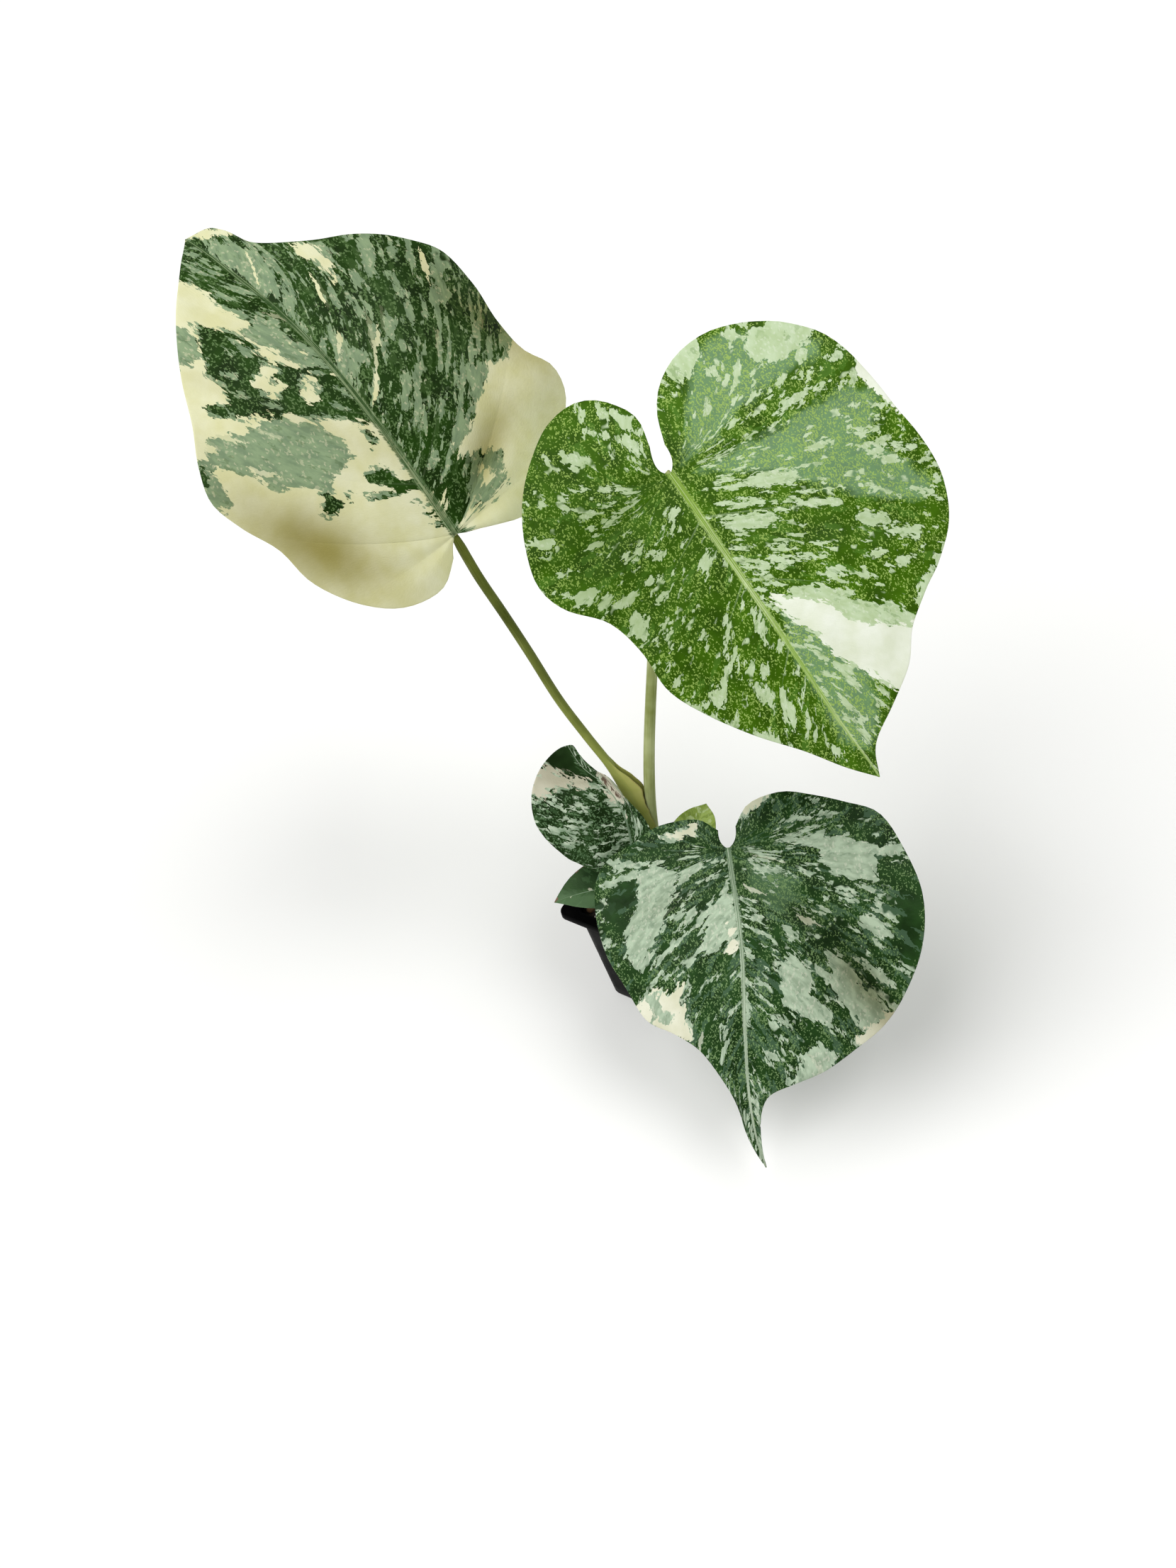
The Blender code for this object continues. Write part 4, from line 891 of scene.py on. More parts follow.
def buildBlade(name, leaf):
    sheet, rib, tip, grids, rows = bladeSheet(leaf)
    a, b, reach = sheet["a"], sheet["b"], sheet["reach"]
    size = leaf["length"] / leafRule["typicalLength"]
    beside = b - midribSway(leaf, a)
    fromRib = np.where(a > 0, np.abs(beside), np.hypot(a, beside))
    ribTip, ribPower = leafRule["ribTaper"]
    ribRatio = fromRib / (
        size * leaf["ribWide"] * (ribTip + np.clip(1 - a / leaf["length"], 0, 1) ** ribPower))
    steps = sheet["share"] * leaf["laterals"]
    halfRound = lengthsAlong(smoothLine(leaf["left"], np.linspace(0, 1, 60)))[-1]
    basal, (ribGap, notchGap) = leafRule["basalShare"], leafRule["rootGaps"]
    rootGap = np.where(sheet["share"] > basal, ribGap * leaf["length"] / (1 - basal), notchGap * halfRound)
    veinGap = (rootGap * (1 - reach) + halfRound * reach) / leaf["laterals"]
    fromLateral = np.abs(steps - np.round(steps)) * veinGap
    onVein = np.clip(steps - 0.5, 0, 1) * (1 - reach) ** leafRule["veinFade"]
    middle = bladePoints(leaf, a, b, bladeLift(leaf, sheet, size))
    # millimetres across the veins, true a little beyond the middle of each vein
    across = np.zeros(len(a))
    for number, grid in enumerate(grids):
        lines = np.array(grid)
        spine = lines[:, lines.shape[1] * 6 // 10]
        run = lengthsAlong(np.stack([a[spine], b[spine]], axis=1))
        across[lines] = run[:, None] + leafRule["halfShift"] * number
        across[tip] = run[-1]
    faces = bladeFaces(grids, rows, tip)
    normals = pointNormals(middle, faces, leafAxes(leaf)[2])

    # the margin is rounded; a sunken channel with a raised middle runs along the midrib
    edge = 1 - np.clip(sheet["edge"] / leafRule["edgeWidth"], 0, 1)
    half = leafRule["halfThickness"] * np.sqrt(np.clip(1 - edge * edge, 0, 1))
    channel, ridge, groove = [
        size * leafRule[key][0] * np.exp(-(away / leafRule[key][1]) ** 2)
        for key, away in (("channel", ribRatio), ("ridge", ribRatio), ("groove", fromLateral / size))]
    channel, groove = [part * (half > 0.1) for part in (channel - ridge, groove * onVein)]
    top = middle + normals * (half - channel - groove)[:, None]
    ribShare, veinShare = leafRule["below"]
    bottom = middle - normals * (half + ribShare * channel + veinShare * groove)[:, None]
    count = len(middle)
    keep = half > 0
    lower = np.arange(count)
    lower[keep] = count + np.arange(keep.sum())
    solid = [tuple(f) for f in faces] + [tuple(lower[k] for k in f[::-1]) for f in faces]
    solid += [(rib[0], grid[0][1], lower[rib[0]]) for grid in grids]

    # what the skin reads: fields in millimetres, positive inside
    paint = paintFields(name, a, b)
    (green, ease), (notch, around) = leafRule["calmGreen"], leafRule["calmNotch"]
    calm = -green * np.clip(paint["green"] / ease, 0, 1)
    calm -= notch * np.exp(-(a * a + beside * beside) / (around * size) ** 2)
    # painted shade: the swells' hollows and the listed patches where the blade lies turned from the light
    # darken its colour
    shadeAmount = np.zeros(count)
    for swell in leaf["swells"]:
        shadeAmount += np.maximum(-swellAt(swell, a, b), 0) / leafRule["fullShadeDepth"]
    shadeAmount += sum(swellAt(shade, a, b) for shade in leaf["shadePatches"])
    fields = {
        "veinPlace": (sheet["run"], across, np.full(count, leaf["seed"] * 1.7)),
        "flatPlace": (a, beside, np.zeros(count)),
        "regions": [paint[key] for key in ("pale", "cream", "dash")],
        "tones": [paint[key] for key in ("plain", "silver", "brown")],
        "lines": (ribRatio, fromLateral / size + 3 * (1 - onVein), np.clip(a / leaf["length"], 0, 1)),
        "relief": (np.clip(shadeAmount, 0, 1), np.ones(count), calm)}
    attributes = {}
    for key, parts in fields.items():
        value = np.stack(parts, axis=1)
        attributes[key] = np.concatenate([value, value[keep] * ((1, 0, 1) if key == "relief" else 1)])
    piece = meshObject(name + "Blade", np.vstack([top, bottom[keep]]), solid, attributes)
    return piece, sheet, grids, bottom, normals, rib


# Leaf skin: waxy above, matt below. Where both layers of tissue hold chlorophyll it is green, where only
# the deeper one does it is grey mint, and where neither does it is cream.
# tooth: shards at the patches' edges (mm along the veins, mm across, push in mm); lobes: broader waves
# streak, creamStreak, ghostStreak, stroke, flecks: shards of mm along, mm across, share that is pale
# silver: colour of the silvery zones, partly the skin's own cooler tone and partly painted sheen
leafLooks = {
    "upperLeft": {
        "green": ("#172d06", "#25450d"), "mint": ("#7b9170", "#8fa57e"), "cream": ("#dad9a7", "#e4e4be"),
        "fleck": "#64804e", "ghost": "#43602f", "silver": "#5b7a5c", "under": "#9fb08a", "brown": "#6b4a2c",
        "rib": ("#375628", "#2c4a1e"), "ribLine": "#8a9d72", "lateral": ("#9fb08a", 0.08), "speck": "#d6d5b0",
        "valley": "#a59a5e", "tooth": (2.2, 1.5, 1.3), "lobes": (10.0, 6.0, 3.2),
        "streak": (12.0, 3.6, 0.165), "creamStreak": (12.0, 2.6, 0.02), "ghostStreak": (6.0, 2.4, 0.22),
        "stroke": (3.4, 1.4, 0.13), "flecks": (0.75, 0.65, 0.24),
    },
    "upperRight": {
        "green": ("#2f5002", "#426b05"), "mint": ("#b4c99a", "#c2d5ae"), "cream": ("#dfe6cd", "#edf2e2"),
        "fleck": "#9dbb5e", "ghost": "#54802a", "silver": "#8fb48c", "under": "#9db884", "brown": "#6b4a2c",
        "rib": ("#86a83c", "#9aba5c"), "ribLine": "#c9dba2", "lateral": ("#a9c08f", 0.4), "speck": "#d9e3cb",
        "valley": "#8a9a5a", "tooth": (2.6, 1.5, 1.25), "lobes": (10.0, 4.0, 2.0), "streak": (7.5, 2.3, 0.07),
        "creamStreak": (12.0, 2.6, -0.1), "ghostStreak": (8.0, 2.6, 0.12), "stroke": (3.2, 1.4, 0.055),
        "flecks": (0.55, 0.5, 0.22),
    },
    "front": {
        "green": ("#152d0d", "#24441a"), "mint": ("#93a58c", "#b0c2a8"), "cream": ("#cfcfb3", "#dfdfc9"),
        "fleck": "#728e5c", "ghost": "#526f56", "silver": "#5f7f5c", "under": "#93a98c", "brown": "#6b4a2c",
        "rib": ("#5d7a58", "#b0bea4"), "ribLine": "#bccab2", "lateral": ("#9fb5a0", 0.12), "speck": "#d3d6c2",
        "valley": "#8b8567", "tooth": (3.0, 1.6, 1.4), "lobes": (12.0, 5.0, 3.0),
        "streak": (12.0, 2.4, 0.055), "creamStreak": (10.0, 2.4, 0.004), "ghostStreak": (7.0, 1.8, 0.26),
        "stroke": (3.4, 1.2, 0.05), "flecks": (0.6, 0.5, 0.24),
    },
    "folded": {
        "green": ("#182c0e", "#27401c"), "mint": ("#879e82", "#c3d2ba"), "cream": ("#c2bda6", "#d6d2bd"),
        "fleck": "#6b8a62", "ghost": "#46643f", "silver": "#4f6f5a", "under": "#7f9678", "brown": "#5a4032",
        "rib": ("#5d7a5c", "#82987b"), "ribLine": "#a0b198", "lateral": ("#8fa58f", 0.08), "speck": "#b9c2aa",
        "valley": "#8a8a6a", "tooth": (2.2, 1.2, 1.3), "lobes": (5.0, 3.0, 3.0), "streak": (6.0, 2.0, 0.15),
        "creamStreak": (5.0, 1.6, 0.01), "ghostStreak": (5.0, 1.8, 0.16), "stroke": (2.6, 1.2, 0.12),
        "flecks": (0.6, 0.5, 0.28),
    },
    "smallLeft": {
        "green": ("#20391a", "#36522c"), "mint": ("#6f8a66", "#94a886"), "cream": ("#b9bda0", "#d5d8c0"),
        "fleck": "#5f7f56", "ghost": "#45653e", "silver": "#67855f", "under": "#6f8a68", "brown": "#7a5a4c",
        "rib": ("#4d6c44", "#6e8762"), "ribLine": "#83987e", "lateral": ("#5f8060", 0.15), "speck": "#b9c2aa",
        "valley": "#7a7a5a", "tooth": (2.0, 1.1, 0.8), "lobes": (5.0, 3.0, 1.0), "streak": (5.0, 1.6, 0.08),
        "creamStreak": (5.0, 1.5, 0.01), "ghostStreak": (5.0, 1.8, 0.12), "stroke": (2.6, 1.1, 0.08),
        "flecks": (0.9, 0.7, 0.05),
    },
    "smallRight": {
        "green": ("#869d40", "#a8bc66"), "mint": ("#a8bc76", "#c4d39a"), "cream": ("#b9bf8c", "#d2d5a8"),
        "fleck": "#9db168", "ghost": "#6d8236", "silver": "#6d8f50", "under": "#8aa35c", "brown": "#6b4a2c",
        "rib": ("#7c9044", "#94a65a"), "ribLine": "#a3b078", "lateral": ("#8a9c54", 0.2), "speck": "#c9d39a",
        "valley": "#7a7a4a", "tooth": (2.0, 1.1, 0.8), "lobes": (5.0, 3.0, 1.0), "streak": (5.0, 1.6, 0.06),
        "creamStreak": (5.0, 1.5, -0.1), "ghostStreak": (5.0, 1.8, 0.3), "stroke": (2.6, 1.1, 0.06),
        "flecks": (1.3, 0.9, 0.12),
    },
}


def leafMaterial(name, look):
    material, shader, add = newMaterial(name + "LeafSkin", 0.4, 0.07)
    places = {key: add("Attribute", {"attribute_name": key + "Place"}, out="Vector")
              for key in ("vein", "flat")}
    fields = {}
    for key, names in (("regions", ("pale", "cream", "dash")), ("tones", ("plain", "silver", "brown")),
                       ("lines", ("rib", "lateral", "along")), ("relief", ("valley", "upper", "calm"))):
        whole = add("Attribute", {"attribute_name": key}, out="Vector")
        fields.update(zip(names, add("SeparateXYZ", links={0: whole}).node.outputs))
    # the shards' outlines waver by about half a millimetre
    fine = add("VectorMath", {"operation": "MULTIPLY", 1: (1 / 2.4, 1 / 1.5, 1.0)}, {0: places["vein"]})
    waver = add("TexNoise", {"Scale": 1.0, "Detail": 2.0}, {"Vector": fine}, "Color")
    waver = add("VectorMath", {
        "operation": "MULTIPLY_ADD", 1: (7.0, 4.5, 0.0), 2: (-3.5, -2.25, 0.0)}, {0: waver})
    places["shard"] = add("VectorMath", {"operation": "ADD"}, {0: places["vein"], 1: waver})
    places["dot"] = add("VectorMath", {"operation": "MULTIPLY_ADD", 1: (0.35, 0.35, 0.0)},
                        {0: waver, 2: places["flat"]})

    # each pattern: coordinates, mm along, mm across, shift, from, to, value from, value to
    patterns = {
        "ribFibre": ("flat", 45.0, 0.55, 2.0, 0.47, 0.60, 0.0, 1.0),
        "feather": ("vein", 5.0, 1.0, 29.0, 0.35, 0.65, 0.0, 1.0),
        "fibre": ("vein", 7.0, 3.6, 17.0, 0.38, 0.62, 0.0, 1.0),
        "tone": ("flat", 14.0, 14.0, 5.0, 0.35, 0.65, 0.0, 1.0),
        "crowding": ("flat", 14.0, 14.0, 12.0, 0.35, 0.65, -1.0, 1.0),
        "gloss": ("flat", 1.6, 1.6, 9.0, 0.3, 0.7, 0.36, 0.48),
        "grain": ("flat", 0.6, 0.6, 23.0, 0.0, 1.0, 0.0, 1.0),
        "ragged": ("vein", 5.0, 3.0, 53.0, 0.3, 0.7, -1.2, 1.2),
        "speck": ("dot", 1.1, 0.8, 41.0, 0.86, 0.90, 0.0, 0.4),
        "greenSpeck": ("shard", 2.4, 1.3, 61.0, 0.90, 0.94, 0.0, 0.35),
    }
    for key, source, place, shift, low, high in (
            ("lobes", "lobes", "vein", 13.0, 0.25, 0.75), ("creamLobes", "lobes", "vein", 43.0, 0.25, 0.75),
            ("tooth", "tooth", "shard", 7.0, 0.0, 1.0), ("creamTooth", "tooth", "shard", 31.0, 0.0, 1.0)):
        long, wide, push = look[source]
        patterns[key] = (place, long, wide, shift, low, high, -push, push)
    for number, key in enumerate(("streak", "creamStreak", "ghostStreak", "stroke", "flecks")):
        long, wide, share = look[key]
        patterns[key] = ("dot" if key == "flecks" else "shard", long, wide, 71.0 + 13.0 * number, 0.0, 1.0,
                         10 * (share - 1), 10 * share)
    made = {}
    for key, (place, long, wide, shift, low, high, start, end) in patterns.items():
        shift += 3.7 * leaves[name]["seed"]
        spread = add("VectorMath", {
            "operation": "MULTIPLY_ADD", 1: (1 / long, 1 / wide, 1.0), 2: (shift, shift, 0.0)},
                     {0: places[place]})
        if place in ("shard", "dot"):
            cells = add("TexVoronoi", {"voronoi_dimensions": "2D", "Scale": 1.0}, {"Vector": spread}, "Color")
            value = add("SeparateColor", links={0: cells})
        else:
            value = add("TexNoise", {"Scale": 1.0, "Detail": 2.0, "Roughness": 0.6}, {"Vector": spread})
        made[key] = add("MapRange", {1: low, 2: high, 3: start, 4: end}, {0: value})

    # patch edges wander with the noise; strokes and streaks of the same tissue lie between the patches
    made = {**fields, **made}
    for key, operation, others in (
            ("streak", "ADD", ("crowding", "calm")), ("stroke", "ADD", ("crowding", "calm")),
            ("ghostStreak", "ADD", ("calm",)), ("flecks", "ADD", ("crowding",)),
            ("dash", "ADD", ("ragged", "tooth")), ("pale", "ADD", ("tooth", "lobes")),
            ("pale", "MAXIMUM", ("dash", "streak", "stroke", "creamStreak")),
            ("cream", "ADD", ("creamTooth", "creamLobes")), ("cream", "MAXIMUM", ("creamStreak",)),
            ("plain", "ADD", ("tooth", "lobes")), ("silver", "ADD", ("lobes", "ragged")),
            ("brown", "ADD", ("tooth",))):
        for other in others:
            made[key] = add("Math", {"operation": operation}, {0: made[key], 1: made[other]})
    clear = add("MapRange", {1: -1.0, 2: 1.0, 3: 0.0, 4: 12.0}, {0: made["plain"]})
    rim = add("MapRange", {1: -0.9, 2: -0.2, 3: 0.0, 4: 4.0}, {0: made["pale"]})
    # more pale flecks in the silvery zone, which is partly painted sheen
    sheen = add("MapRange", {1: -6.0, 2: 6.0, 3: 0.0, 4: -1.6}, {0: made["silver"]})
    for less in (clear, rim, sheen):
        made["flecks"] = add("Math", {"operation": "SUBTRACT"}, {0: made["flecks"], 1: less})
    pale = add("Math", {"operation": "SUBTRACT"}, {0: made["pale"], 1: clear})
    feathered = add("Math", {"operation": "MULTIPLY_ADD", 1: 0.5}, {0: made["feather"], 2: fields["rib"]})

    tones = {}
    for key, mask in (("green", made["tone"]), ("mint", made["fibre"]), ("cream", made["tone"]),
                      ("rib", fields["along"])):
        tones[key] = add("Mix", {"data_type": "RGBA", 6: look[key][0], 7: look[key][1]}, {0: mask}, 2)
    for key, mask, shade in (("mint", "speck", "speck"), ("mint", "greenSpeck", "ghost"),
                             ("rib", "ribFibre", "ribLine")):
        tones[key] = add("Mix", {"data_type": "RGBA", 7: look[shade]}, {0: made[mask], 6: tones[key]}, 2)
    # the silver layer is partly the skin's own cooler tone and partly painted sheen, a reflection of a bright
    # window
    colour = paintLayers(add, tones["green"], (
        (made["ghostStreak"], -0.1, 0.1, 0.0, 0.5, look["ghost"]),
        (made["silver"], -1.5, 3.0, 0.0, 0.48, look["silver"]),
        (made["flecks"], -0.12, 0.12, 0.0, 0.8, look["fleck"]),
        (pale, -0.12, 0.12, 0.0, 1.0, tones["mint"]), (made["cream"], -0.12, 0.12, 0.0, 1.0, tones["cream"]),
        (fields["lateral"], 0.15, 0.7, look["lateral"][1], 0.0, look["lateral"][0]),
        (feathered, 1.0, 1.4, 0.85, 0.0, tones["rib"]), (made["brown"], -0.2, 0.3, 0.0, 0.9, look["brown"])))
    # painted shade: hollows and the listed shade patches are darkened and yellowed in the colour, and the
    # underside is paler
    colour = add("Mix", {"data_type": "RGBA", "blend_type": "MULTIPLY", 7: look["valley"]},
                 {0: fields["valley"], 6: colour}, 2)
    below = add("Mix", {"data_type": "RGBA", 0: 0.5, 7: look["under"]}, {6: colour}, 2)
    colour = add("Mix", {"data_type": "RGBA"}, {0: fields["upper"], 6: below, 7: colour}, 2)
    matt = add("MapRange", {3: 0.22, 4: 0.0}, {0: fields["upper"]})
    gloss = add("Math", {"operation": "ADD"}, {0: made["gloss"], 1: matt})
    # the finest veins net the skin in cells of about 2 mm
    netted = add("VectorMath", {"operation": "MULTIPLY", 1: (1 / 2.6, 1 / 1.6, 1.0)}, {0: places["vein"]})
    cells = add("TexVoronoi", {"feature": "DISTANCE_TO_EDGE", "Scale": 1.0}, {"Vector": netted})
    raised = add("MapRange", {1: 0.0, 2: 0.22}, {0: cells})
    height = add("Math", {"operation": "ADD"}, {0: raised, 1: made["grain"]})
    dressShader(shader, add, colour, height, 0.3, 0.00012, gloss)
    return material


# stalks and veins: one Geometry Nodes tree sweeps a round section along a path

def buildSweepTree():
    tree, sockets, add, entry = newNodesTree("sweepAlongPath", (("Sides", "Int"), ("Finish", "Material")))
    curve = add("MeshToCurve", links={0: entry["Geometry"]})
    thickness = add("InputNamedAttribute", {"data_type": "FLOAT", "Name": "thickness"})
    curve = add("SetCurveRadius", links={"Curve": curve, "Radius": thickness})
    ring = add("CurvePrimitiveCircle", {"Radius": 1.0}, {"Resolution": entry["Sides"]})
    curve, ring = [
        add("StoreNamedAttribute", {"data_type": "FLOAT", "domain": "POINT", "Name": name},
            {"Geometry": line, "Value": add("SplineParameter", out=measure)})
        for line, name, measure in ((curve, "along", "Length"), (ring, "around", "Factor"))]
    sweep = add("CurveToMesh", {"Fill Caps": True}, {"Curve": curve, "Profile Curve": ring})
    if "Scale" in sweep.node.inputs:
        tree.links.new(add("InputRadius"), sweep.node.inputs["Scale"])
    smooth = add("SetShadeSmooth", links={0: sweep})
    real = add("RealizeInstances", links={0: smooth})
    painted = add("SetMaterial", links={"Geometry": real, "Material": entry["Finish"]})
    add("NodeGroupOutput", links={0: painted})
    return tree, sockets


sweepTree, sweepSockets = buildSweepTree()


def sweepPiece(name, paths, material, sides):
    # paths: (points, radii) in millimetres
    points, edges, radii = [], [], []
    for path, thickness in paths:
        start = len(points)
        points += [tuple(np.asarray(p) * mm) for p in path]
        edges += [(start + k, start + k + 1) for k in range(len(path) - 1)]
        radii += [r * mm for r in thickness]
    mesh = bpy.data.meshes.new(name)
    mesh.from_pydata(points, edges, [])
    layer = mesh.attributes.new("thickness", "FLOAT", "POINT")
    layer.data.foreach_set("value", np.array(radii, np.float32))
    return runTree(linkObject(name, mesh), sweepTree, sweepSockets, {"Sides": sides, "Finish": material})


# living stalk: smooth waxy skin with fine lengthwise lines
# tones: dark and light of the skin, and on the sheath those of its foot and of its wings, which thin out
# to a yellow membrane with a dry tan margin; fibres: lines for each metre along, and round the stalk
stalkLooks = {
    "olive": {"tones": [("#454f10", "#68722c")], "line": "#868f46"},
    "paleOlive": {"tones": [("#838d48", "#b1b982")], "line": "#ced49e"},
    "vein": {"tones": [("#7f9468", "#a3b48a")], "line": "#b9c6a0"},
    "creamVein": {"tones": [("#a3a777", "#c6c69a")], "line": "#d5d4b0"},
    "sheath": {"tones": [("#4b5414", "#6c762e"), ("#7d8738", "#a0a957"), ("#9aa04a", "#b9b96c")],
               "line": "#a7ad6c", "margin": "#a8935c", "roughness": 0.45, "fibres": (45.0, 60.0, 1.0),
               "mottle": 55.0, "lined": (0.55, 0.72, 0.0, 0.5)},
}
stalkRule = {"roughness": 0.42, "fibres": (40.0, 24.0, 1.0), "mottle": 60.0, "lined": (0.52, 0.72, 0.0, 0.55)}


def stalkMaterial(name):
    look = {**stalkRule, **stalkLooks[name]}
    kind = "Skin" if name == "sheath" else "StalkSkin"
    material, shader, add = newMaterial(name + kind, look["roughness"], 0.1)
    along, around = [add("Attribute", {"attribute_name": key}, out="Fac") for key in ("along", "around")]
    place = add("CombineXYZ", links={0: along, 1: around})
    stretched = add("VectorMath", {"operation": "MULTIPLY", 1: look["fibres"]}, {0: place})
    fibres = add("TexNoise", {"Scale": 1.0, "Detail": 3.0}, {"Vector": stretched})
    body = add("TexCoord", out="Object")
    mottle = add("TexNoise", {"Scale": look["mottle"], "Detail": 3.0}, {"Vector": body})
    stalk, *others = [paintLayers(add, dark, ((mottle, 0.3, 0.7, 0.0, 1.0, light),))
                      for dark, light in look["tones"]]
    layers = [(fibres, *look["lined"], look["line"])]
    if others:
        # the petiole pales towards its foot, and its wings towards their edges
        foot, wings = others
        outness = add("Attribute", {"attribute_name": "outness"}, out="Fac")
        layers = [(along, 0.09, 0.17, 1.0, 0.0, foot), (outness, 0.05, 0.45, 0.0, 1.0, wings), *layers,
                  (outness, 0.90, 1.0, 0.0, 0.6, look["margin"])]
    dressShader(shader, add, paintLayers(add, stalk, layers), fibres, 0.3, 0.0002)
    return material


stalkSkins = {name: stalkMaterial(name) for name in stalkLooks}

# midrib below the blade: radius in keels at its foot, taper, radius at its tip, and how deep its middle lies
# (radii, less mm); side veins: the same
veinSet = {"midrib": (0.85, 0.7, 0.12, 0.8, 0.12), "side": (0.42, 1.2, 0.14, 0.6, 0.06), "sides": 8}


def buildVeins(name, leaf, sheet, grids, bottom, normals, rib):
    # the midrib and the side veins stand out below the blade
    thick, taper, thin, deep, less = veinSet["midrib"]
    size = leaf["length"] / leafRule["typicalLength"]
    steps = sheet["share"] * leaf["laterals"]
    chain = ([rib[0]] + [k for k in dict.fromkeys(rib) if sheet["a"][k] > 0])[::2]
    radii = [leaf["keel"] * thick * (1 - sheet["a"][k] / leaf["length"]) ** taper + thin for k in chain]
    paths = [([bottom[k] - normals[k] * (deep * r - less) for k, r in zip(chain, radii)], radii)]
    thick, taper, thin, deep, less = veinSet["side"]
    for line in grids[0] + grids[1]:
        vein = round(steps[line[1]])
        if abs(steps[line[1]] - vein) < 1e-6 and 0 < vein < leaf["laterals"]:
            line = line[::2][:-3]
            radii = size * (thin + thick * (1 - sheet["reach"][line]) ** taper)
            paths.append(([bottom[k] - normals[k] * (deep * r - less) for k, r in zip(line, radii)], radii))
    skin = stalkSkins["creamVein" if name == "upperLeft" else "vein"]
    return sweepPiece(name + "Veins", paths, skin, veinSet["sides"])


for leafName, leafSet in leaves.items():
    blade, *sheetParts = buildBlade(leafName, leafSet)
    leafSkin = leafMaterial(leafName, leafLooks[leafName])
    placePiece(blade, leafSkin, leafSet["slot"], leafSet["node"] + "_blade")
    veins = buildVeins(leafName, leafSet, *sheetParts)
    placePiece(veins, veins.data.materials[0], leafSet["slot"])
    print("leaf", leafName, len(blade.data.polygons), "faces")


# what the stalks share; foot: how far it lies from the stem's middle (mm and radii), then how far the next
# point lies from it; rise between the two (radii); clasp: how much and over what share the foot swells
petioleRule = {"foot": (4.6, 0.45), "elbow": (2.4, 1.3), "rise": 0.3, "clasp": (0.28, 0.05),
               "thinning": ((0, 0.93, 1), (1, 1, 0.35)), "rows": 70, "sides": 20}
# stalks of all leaves but the upper left one: foot on the stem (heading, height), radii at foot and top,
# skin, how far along the blade the stalk meets it (in radii), and the way between
petioles = {
    "upperRight": {"side": None, "radii": (3.4, 2.2), "skin": "paleOlive", "tuck": -0.8,
                   "path": [(9.0, 4.0, 93.8), (8.9, 4.0, 112), (9.3, 4.6, 130), (10.8, 7.4, 146),
                            (15.2, 12.2, 175), (25.9, 21.0, 227), (37.3, 26.5, 282), (46.0, 28.6, 316)]},
    "front": {"side": (-49, 84), "radii": (2.4, 1.8), "skin": "olive", "tuck": 1.2,
              "path": [(15, -8, 97), (22, -16, 117), (32, -28, 137)]},
    "folded": {"side": (229, 83), "radii": (1.8, 1.4), "skin": "olive", "tuck": -0.8,
               "path": [(-2.6, -5.8, 95), (-4.6, -7.8, 109)]},
    "smallLeft": {"side": (192, 81.5), "radii": (1.4, 1.0), "skin": "olive", "tuck": -0.8,
                  "path": [(-6.5, -2, 89), (-11, -6, 97)]},
    "smallRight": {"side": (-4, 82.5), "radii": (1.4, 1.0), "skin": "olive", "tuck": -0.8,
                   "path": [(17, 0.6, 94), (22, -4.5, 109)]},
}


def stalkEnd(leaf, radius, tuck):
    # last stretch: up under the notch and on into the midrib
    along, _, normal = leafAxes(leaf)
    keel = leaf["keel"]
    steps = ((0.9 + keel + 0.55 * radius, 0.0), (0.4 + keel / 3 + 0.8 * radius, 2.0), (0.5 + 0.8 * keel, 5.3))
    return [np.array(leaf["at"], float) - normal * under + along * (tuck + onward) * radius
            for under, onward in steps]


def buildPetiole(name, spec):
    start, end = spec["radii"]
    line = list(spec["path"])
    if spec["side"]:
        heading, height = spec["side"]
        place, points = np.array(stemSet["centre"]), []
        for key, rise in (("foot", 0.0), ("elbow", petioleRule["rise"])):
            out, radii = petioleRule[key]
            place = place + arrowAt(heading) * (out + radii * start)
            points.append((*place, height + rise * start))
        line = points + line
    share = np.linspace(0, 1, petioleRule["rows"])
    path = smoothLine(line + stalkEnd(leaves[name], end, spec["tuck"]), share)
    # the stalk clasps the stem at its foot and thins out into the midrib
    swell, span = petioleRule["clasp"]
    radii = (start + (end - start) * share) * (1 + swell * np.exp(-(share / span) ** 2))
    radii = radii * np.interp(share, *petioleRule["thinning"])
    return sweepPiece(name + "Petiole", [(path, radii)], stalkSkins[spec["skin"]], petioleRule["sides"])


for petioleName, petioleSet in petioles.items():
    petiole, node = buildPetiole(petioleName, petioleSet), leaves[petioleName]["node"] + "_petiole"
    placePiece(petiole, stalkSkins[petioleSet["skin"]], "petiole_olive", node)
print("petioles swept")


# the upper left petiole opens below into a winged sheath that holds its neighbour

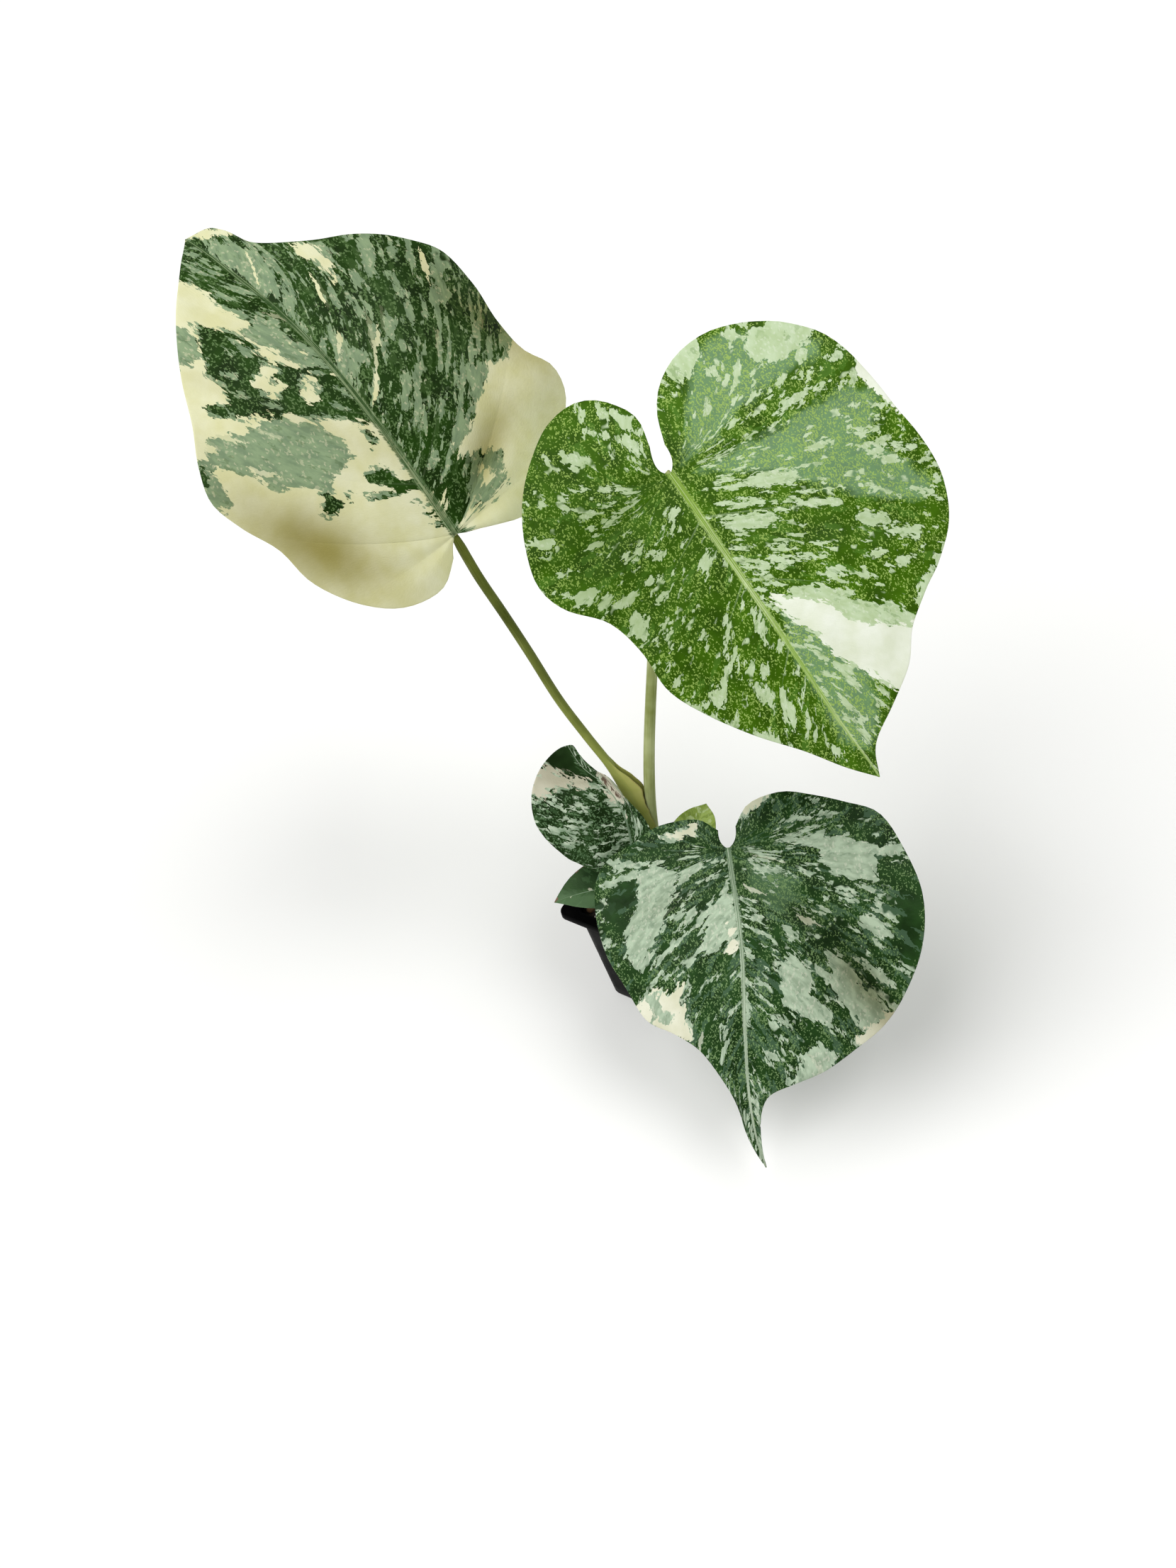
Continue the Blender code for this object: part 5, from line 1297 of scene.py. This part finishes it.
sheathSet = {
    "path": [(2.2, 3.2, 93.8), (2.2, 3.0, 108), (2.3, 3.4, 122), (1.8, 5.6, 136), (-0.6, 11.4, 152),
             (-5.4, 18.6, 168), (-13.3, 25, 186), (-23, 31, 211), (-32, 38.5, 241), (-39.2, 42.8, 265),
             (-46.2, 46, 288)],
    # height, radius
    "radii": [(93, 2.8), (140, 2.6), (165, 2.4), (300, 2.35)],
    # height, how far the wings reach from the petiole's middle, half the gap between them
    "wings": [(93, 9.0, 4.5), (122, 10.2, 4.5), (132, 11.0, 4.2), (140, 11.5, 3.8), (145, 11.5, 3.4),
              (149, 11.3, 2.6), (154, 9.6, 2.4), (161, 6.8, 2.1), (168, 4.2, 1.7), (174, 3.4, 1.5)],
    # height, how far the wings' edges pass the neighbour's middle: in front of it below, beside it above
    "past": [(93, 2.6), (122, 3.2), (132, 1.4), (140, -0.8), (145, -2.3), (149, -3.4), (152, -3.6)],
    # height, share of the way from the winged section to a round one
    "fade": [(160.0, 0), (174.0, 1)],
    # bearings round the petiole: its back, the stretch that the right wing takes up, its front, and the
    # wing's root
    "back": (70, 290), "backPoints": 21, "wing": (296, 336), "wingPoints": 10, "front": (-18, -9, 0, 9, 18),
    "wingRoot": -50, "wingThickness": (0.8, 0.35),
    # rows with wings and without; radius and tuck at the top; waviness of the wings' edges (mm, radians
    # for each mm)
    "rows": (90, 80), "top": (2.2, -0.8), "waviness": (0.12, 0.9),
}


def sheathSection(radius, reach, spread, roundness):
    # closed ring of a round petiole with a thin wing on each side of its front; and how far out each point is
    count, backs, fronts = sheathSet["wingPoints"], sheathSet["backPoints"], sheathSet["front"]
    back, wing = np.linspace(*sheathSet["back"], backs), np.linspace(*sheathSet["wing"], 2 * count)
    plain = radius * arrowAt(np.concatenate([back, wing, fronts, 360 - wing[::-1]]))
    root = radius * arrowAt(sheathSet["wingRoot"])
    share = np.linspace(0.12, 1, count)
    flank = np.stack([root[0] + (reach - root[0]) * share,
                      root[1] + (-spread - root[1]) * np.sin(share * np.pi / 2) ** 0.8], axis=1)
    lean = np.gradient(flank, axis=0)
    lean /= np.linalg.norm(lean, axis=1)[:, None]
    thick, thin = sheathSet["wingThickness"]
    off = np.stack([lean[:, 1], -lean[:, 0]], axis=1) * (thick + (thin - thick) * share[:, None]) / 2
    lower = np.vstack([flank + off, (flank - off)[::-1]])
    front = plain[backs + 2 * count:][:len(fronts)]
    ring = np.vstack([plain[:backs], lower, front, lower[::-1] * (1, -1)])
    flanks = [share, share[::-1]]
    outness = np.concatenate([np.zeros(backs), *flanks, np.zeros(len(fronts)), *flanks])
    return (1 - roundness) * ring + roundness * plain, np.maximum(outness, 0.25) * (1 - roundness)


def buildSheath():
    radiusAt, wingsAt, pastAt, fadeAt = [np.array(sheathSet[key], float).T
                                         for key in ("radii", "wings", "past", "fade")]
    neighbour = smoothLine(petioles["upperRight"]["path"], np.linspace(0, 1, 400))
    line = sheathSet["path"] + stalkEnd(leaves["upperLeft"], *sheathSet["top"])
    dense = smoothLine(line, np.linspace(0, 1, 600))
    low = np.argmax(dense[:, 2] > wingsAt[0][-1])
    winged, plain = sheathSet["rows"]
    path = dense[np.concatenate([np.linspace(0, low, winged), np.linspace(low, 599, plain)[1:]]).astype(int)]
    waveHeight, waveTurns = sheathSet["waviness"]
    tangents = np.gradient(path, axis=0)
    tangents /= np.linalg.norm(tangents, axis=1)[:, None]
    rings, outness = [], []
    front = np.array([1.0, 0.0, 0.0])
    for i, (point, tangent) in enumerate(zip(path, tangents)):
        height = point[2]
        radius = np.interp(height, *radiusAt) * np.interp(i / (len(path) - 1), (0.95, 1), (1, 0.35))
        reach, spread = radius, radius * 0.5
        if i < winged:
            beside = neighbour[np.argmin(np.abs((neighbour - point) @ tangent))] - point
            beside = beside - tangent * (beside @ tangent)
            distance = np.linalg.norm(beside)
            front = beside / distance
            reach, spread = np.interp(height, *wingsAt[:2]), np.interp(height, wingsAt[0], wingsAt[2])
            reach = min(reach, distance + np.interp(height, *pastAt))
            reach += waveHeight * math.sin(height * waveTurns)
        front = front - tangent * (front @ tangent)
        front /= np.linalg.norm(front)
        section, out = sheathSection(radius, max(reach, 1.3 * radius), spread, np.interp(height, *fadeAt))
        rings.append(point + section[:, :1] * front + section[:, 1:] * np.cross(tangent, front))
        outness.append(out)
    sides = len(rings[0])
    return meshObject("sheathPetiole", np.vstack(rings), loftFaces(len(rings), sides), {
        "along": np.repeat(lengthsAlong(path) * mm, sides),
        "around": np.tile(np.linspace(0, 1, sides), len(rings)), "outness": np.concatenate(outness)})


placePiece(buildSheath(), stalkSkins["sheath"], "sheath_yellow_green", "leaf_upper_left_petiole")
print("sheath built")
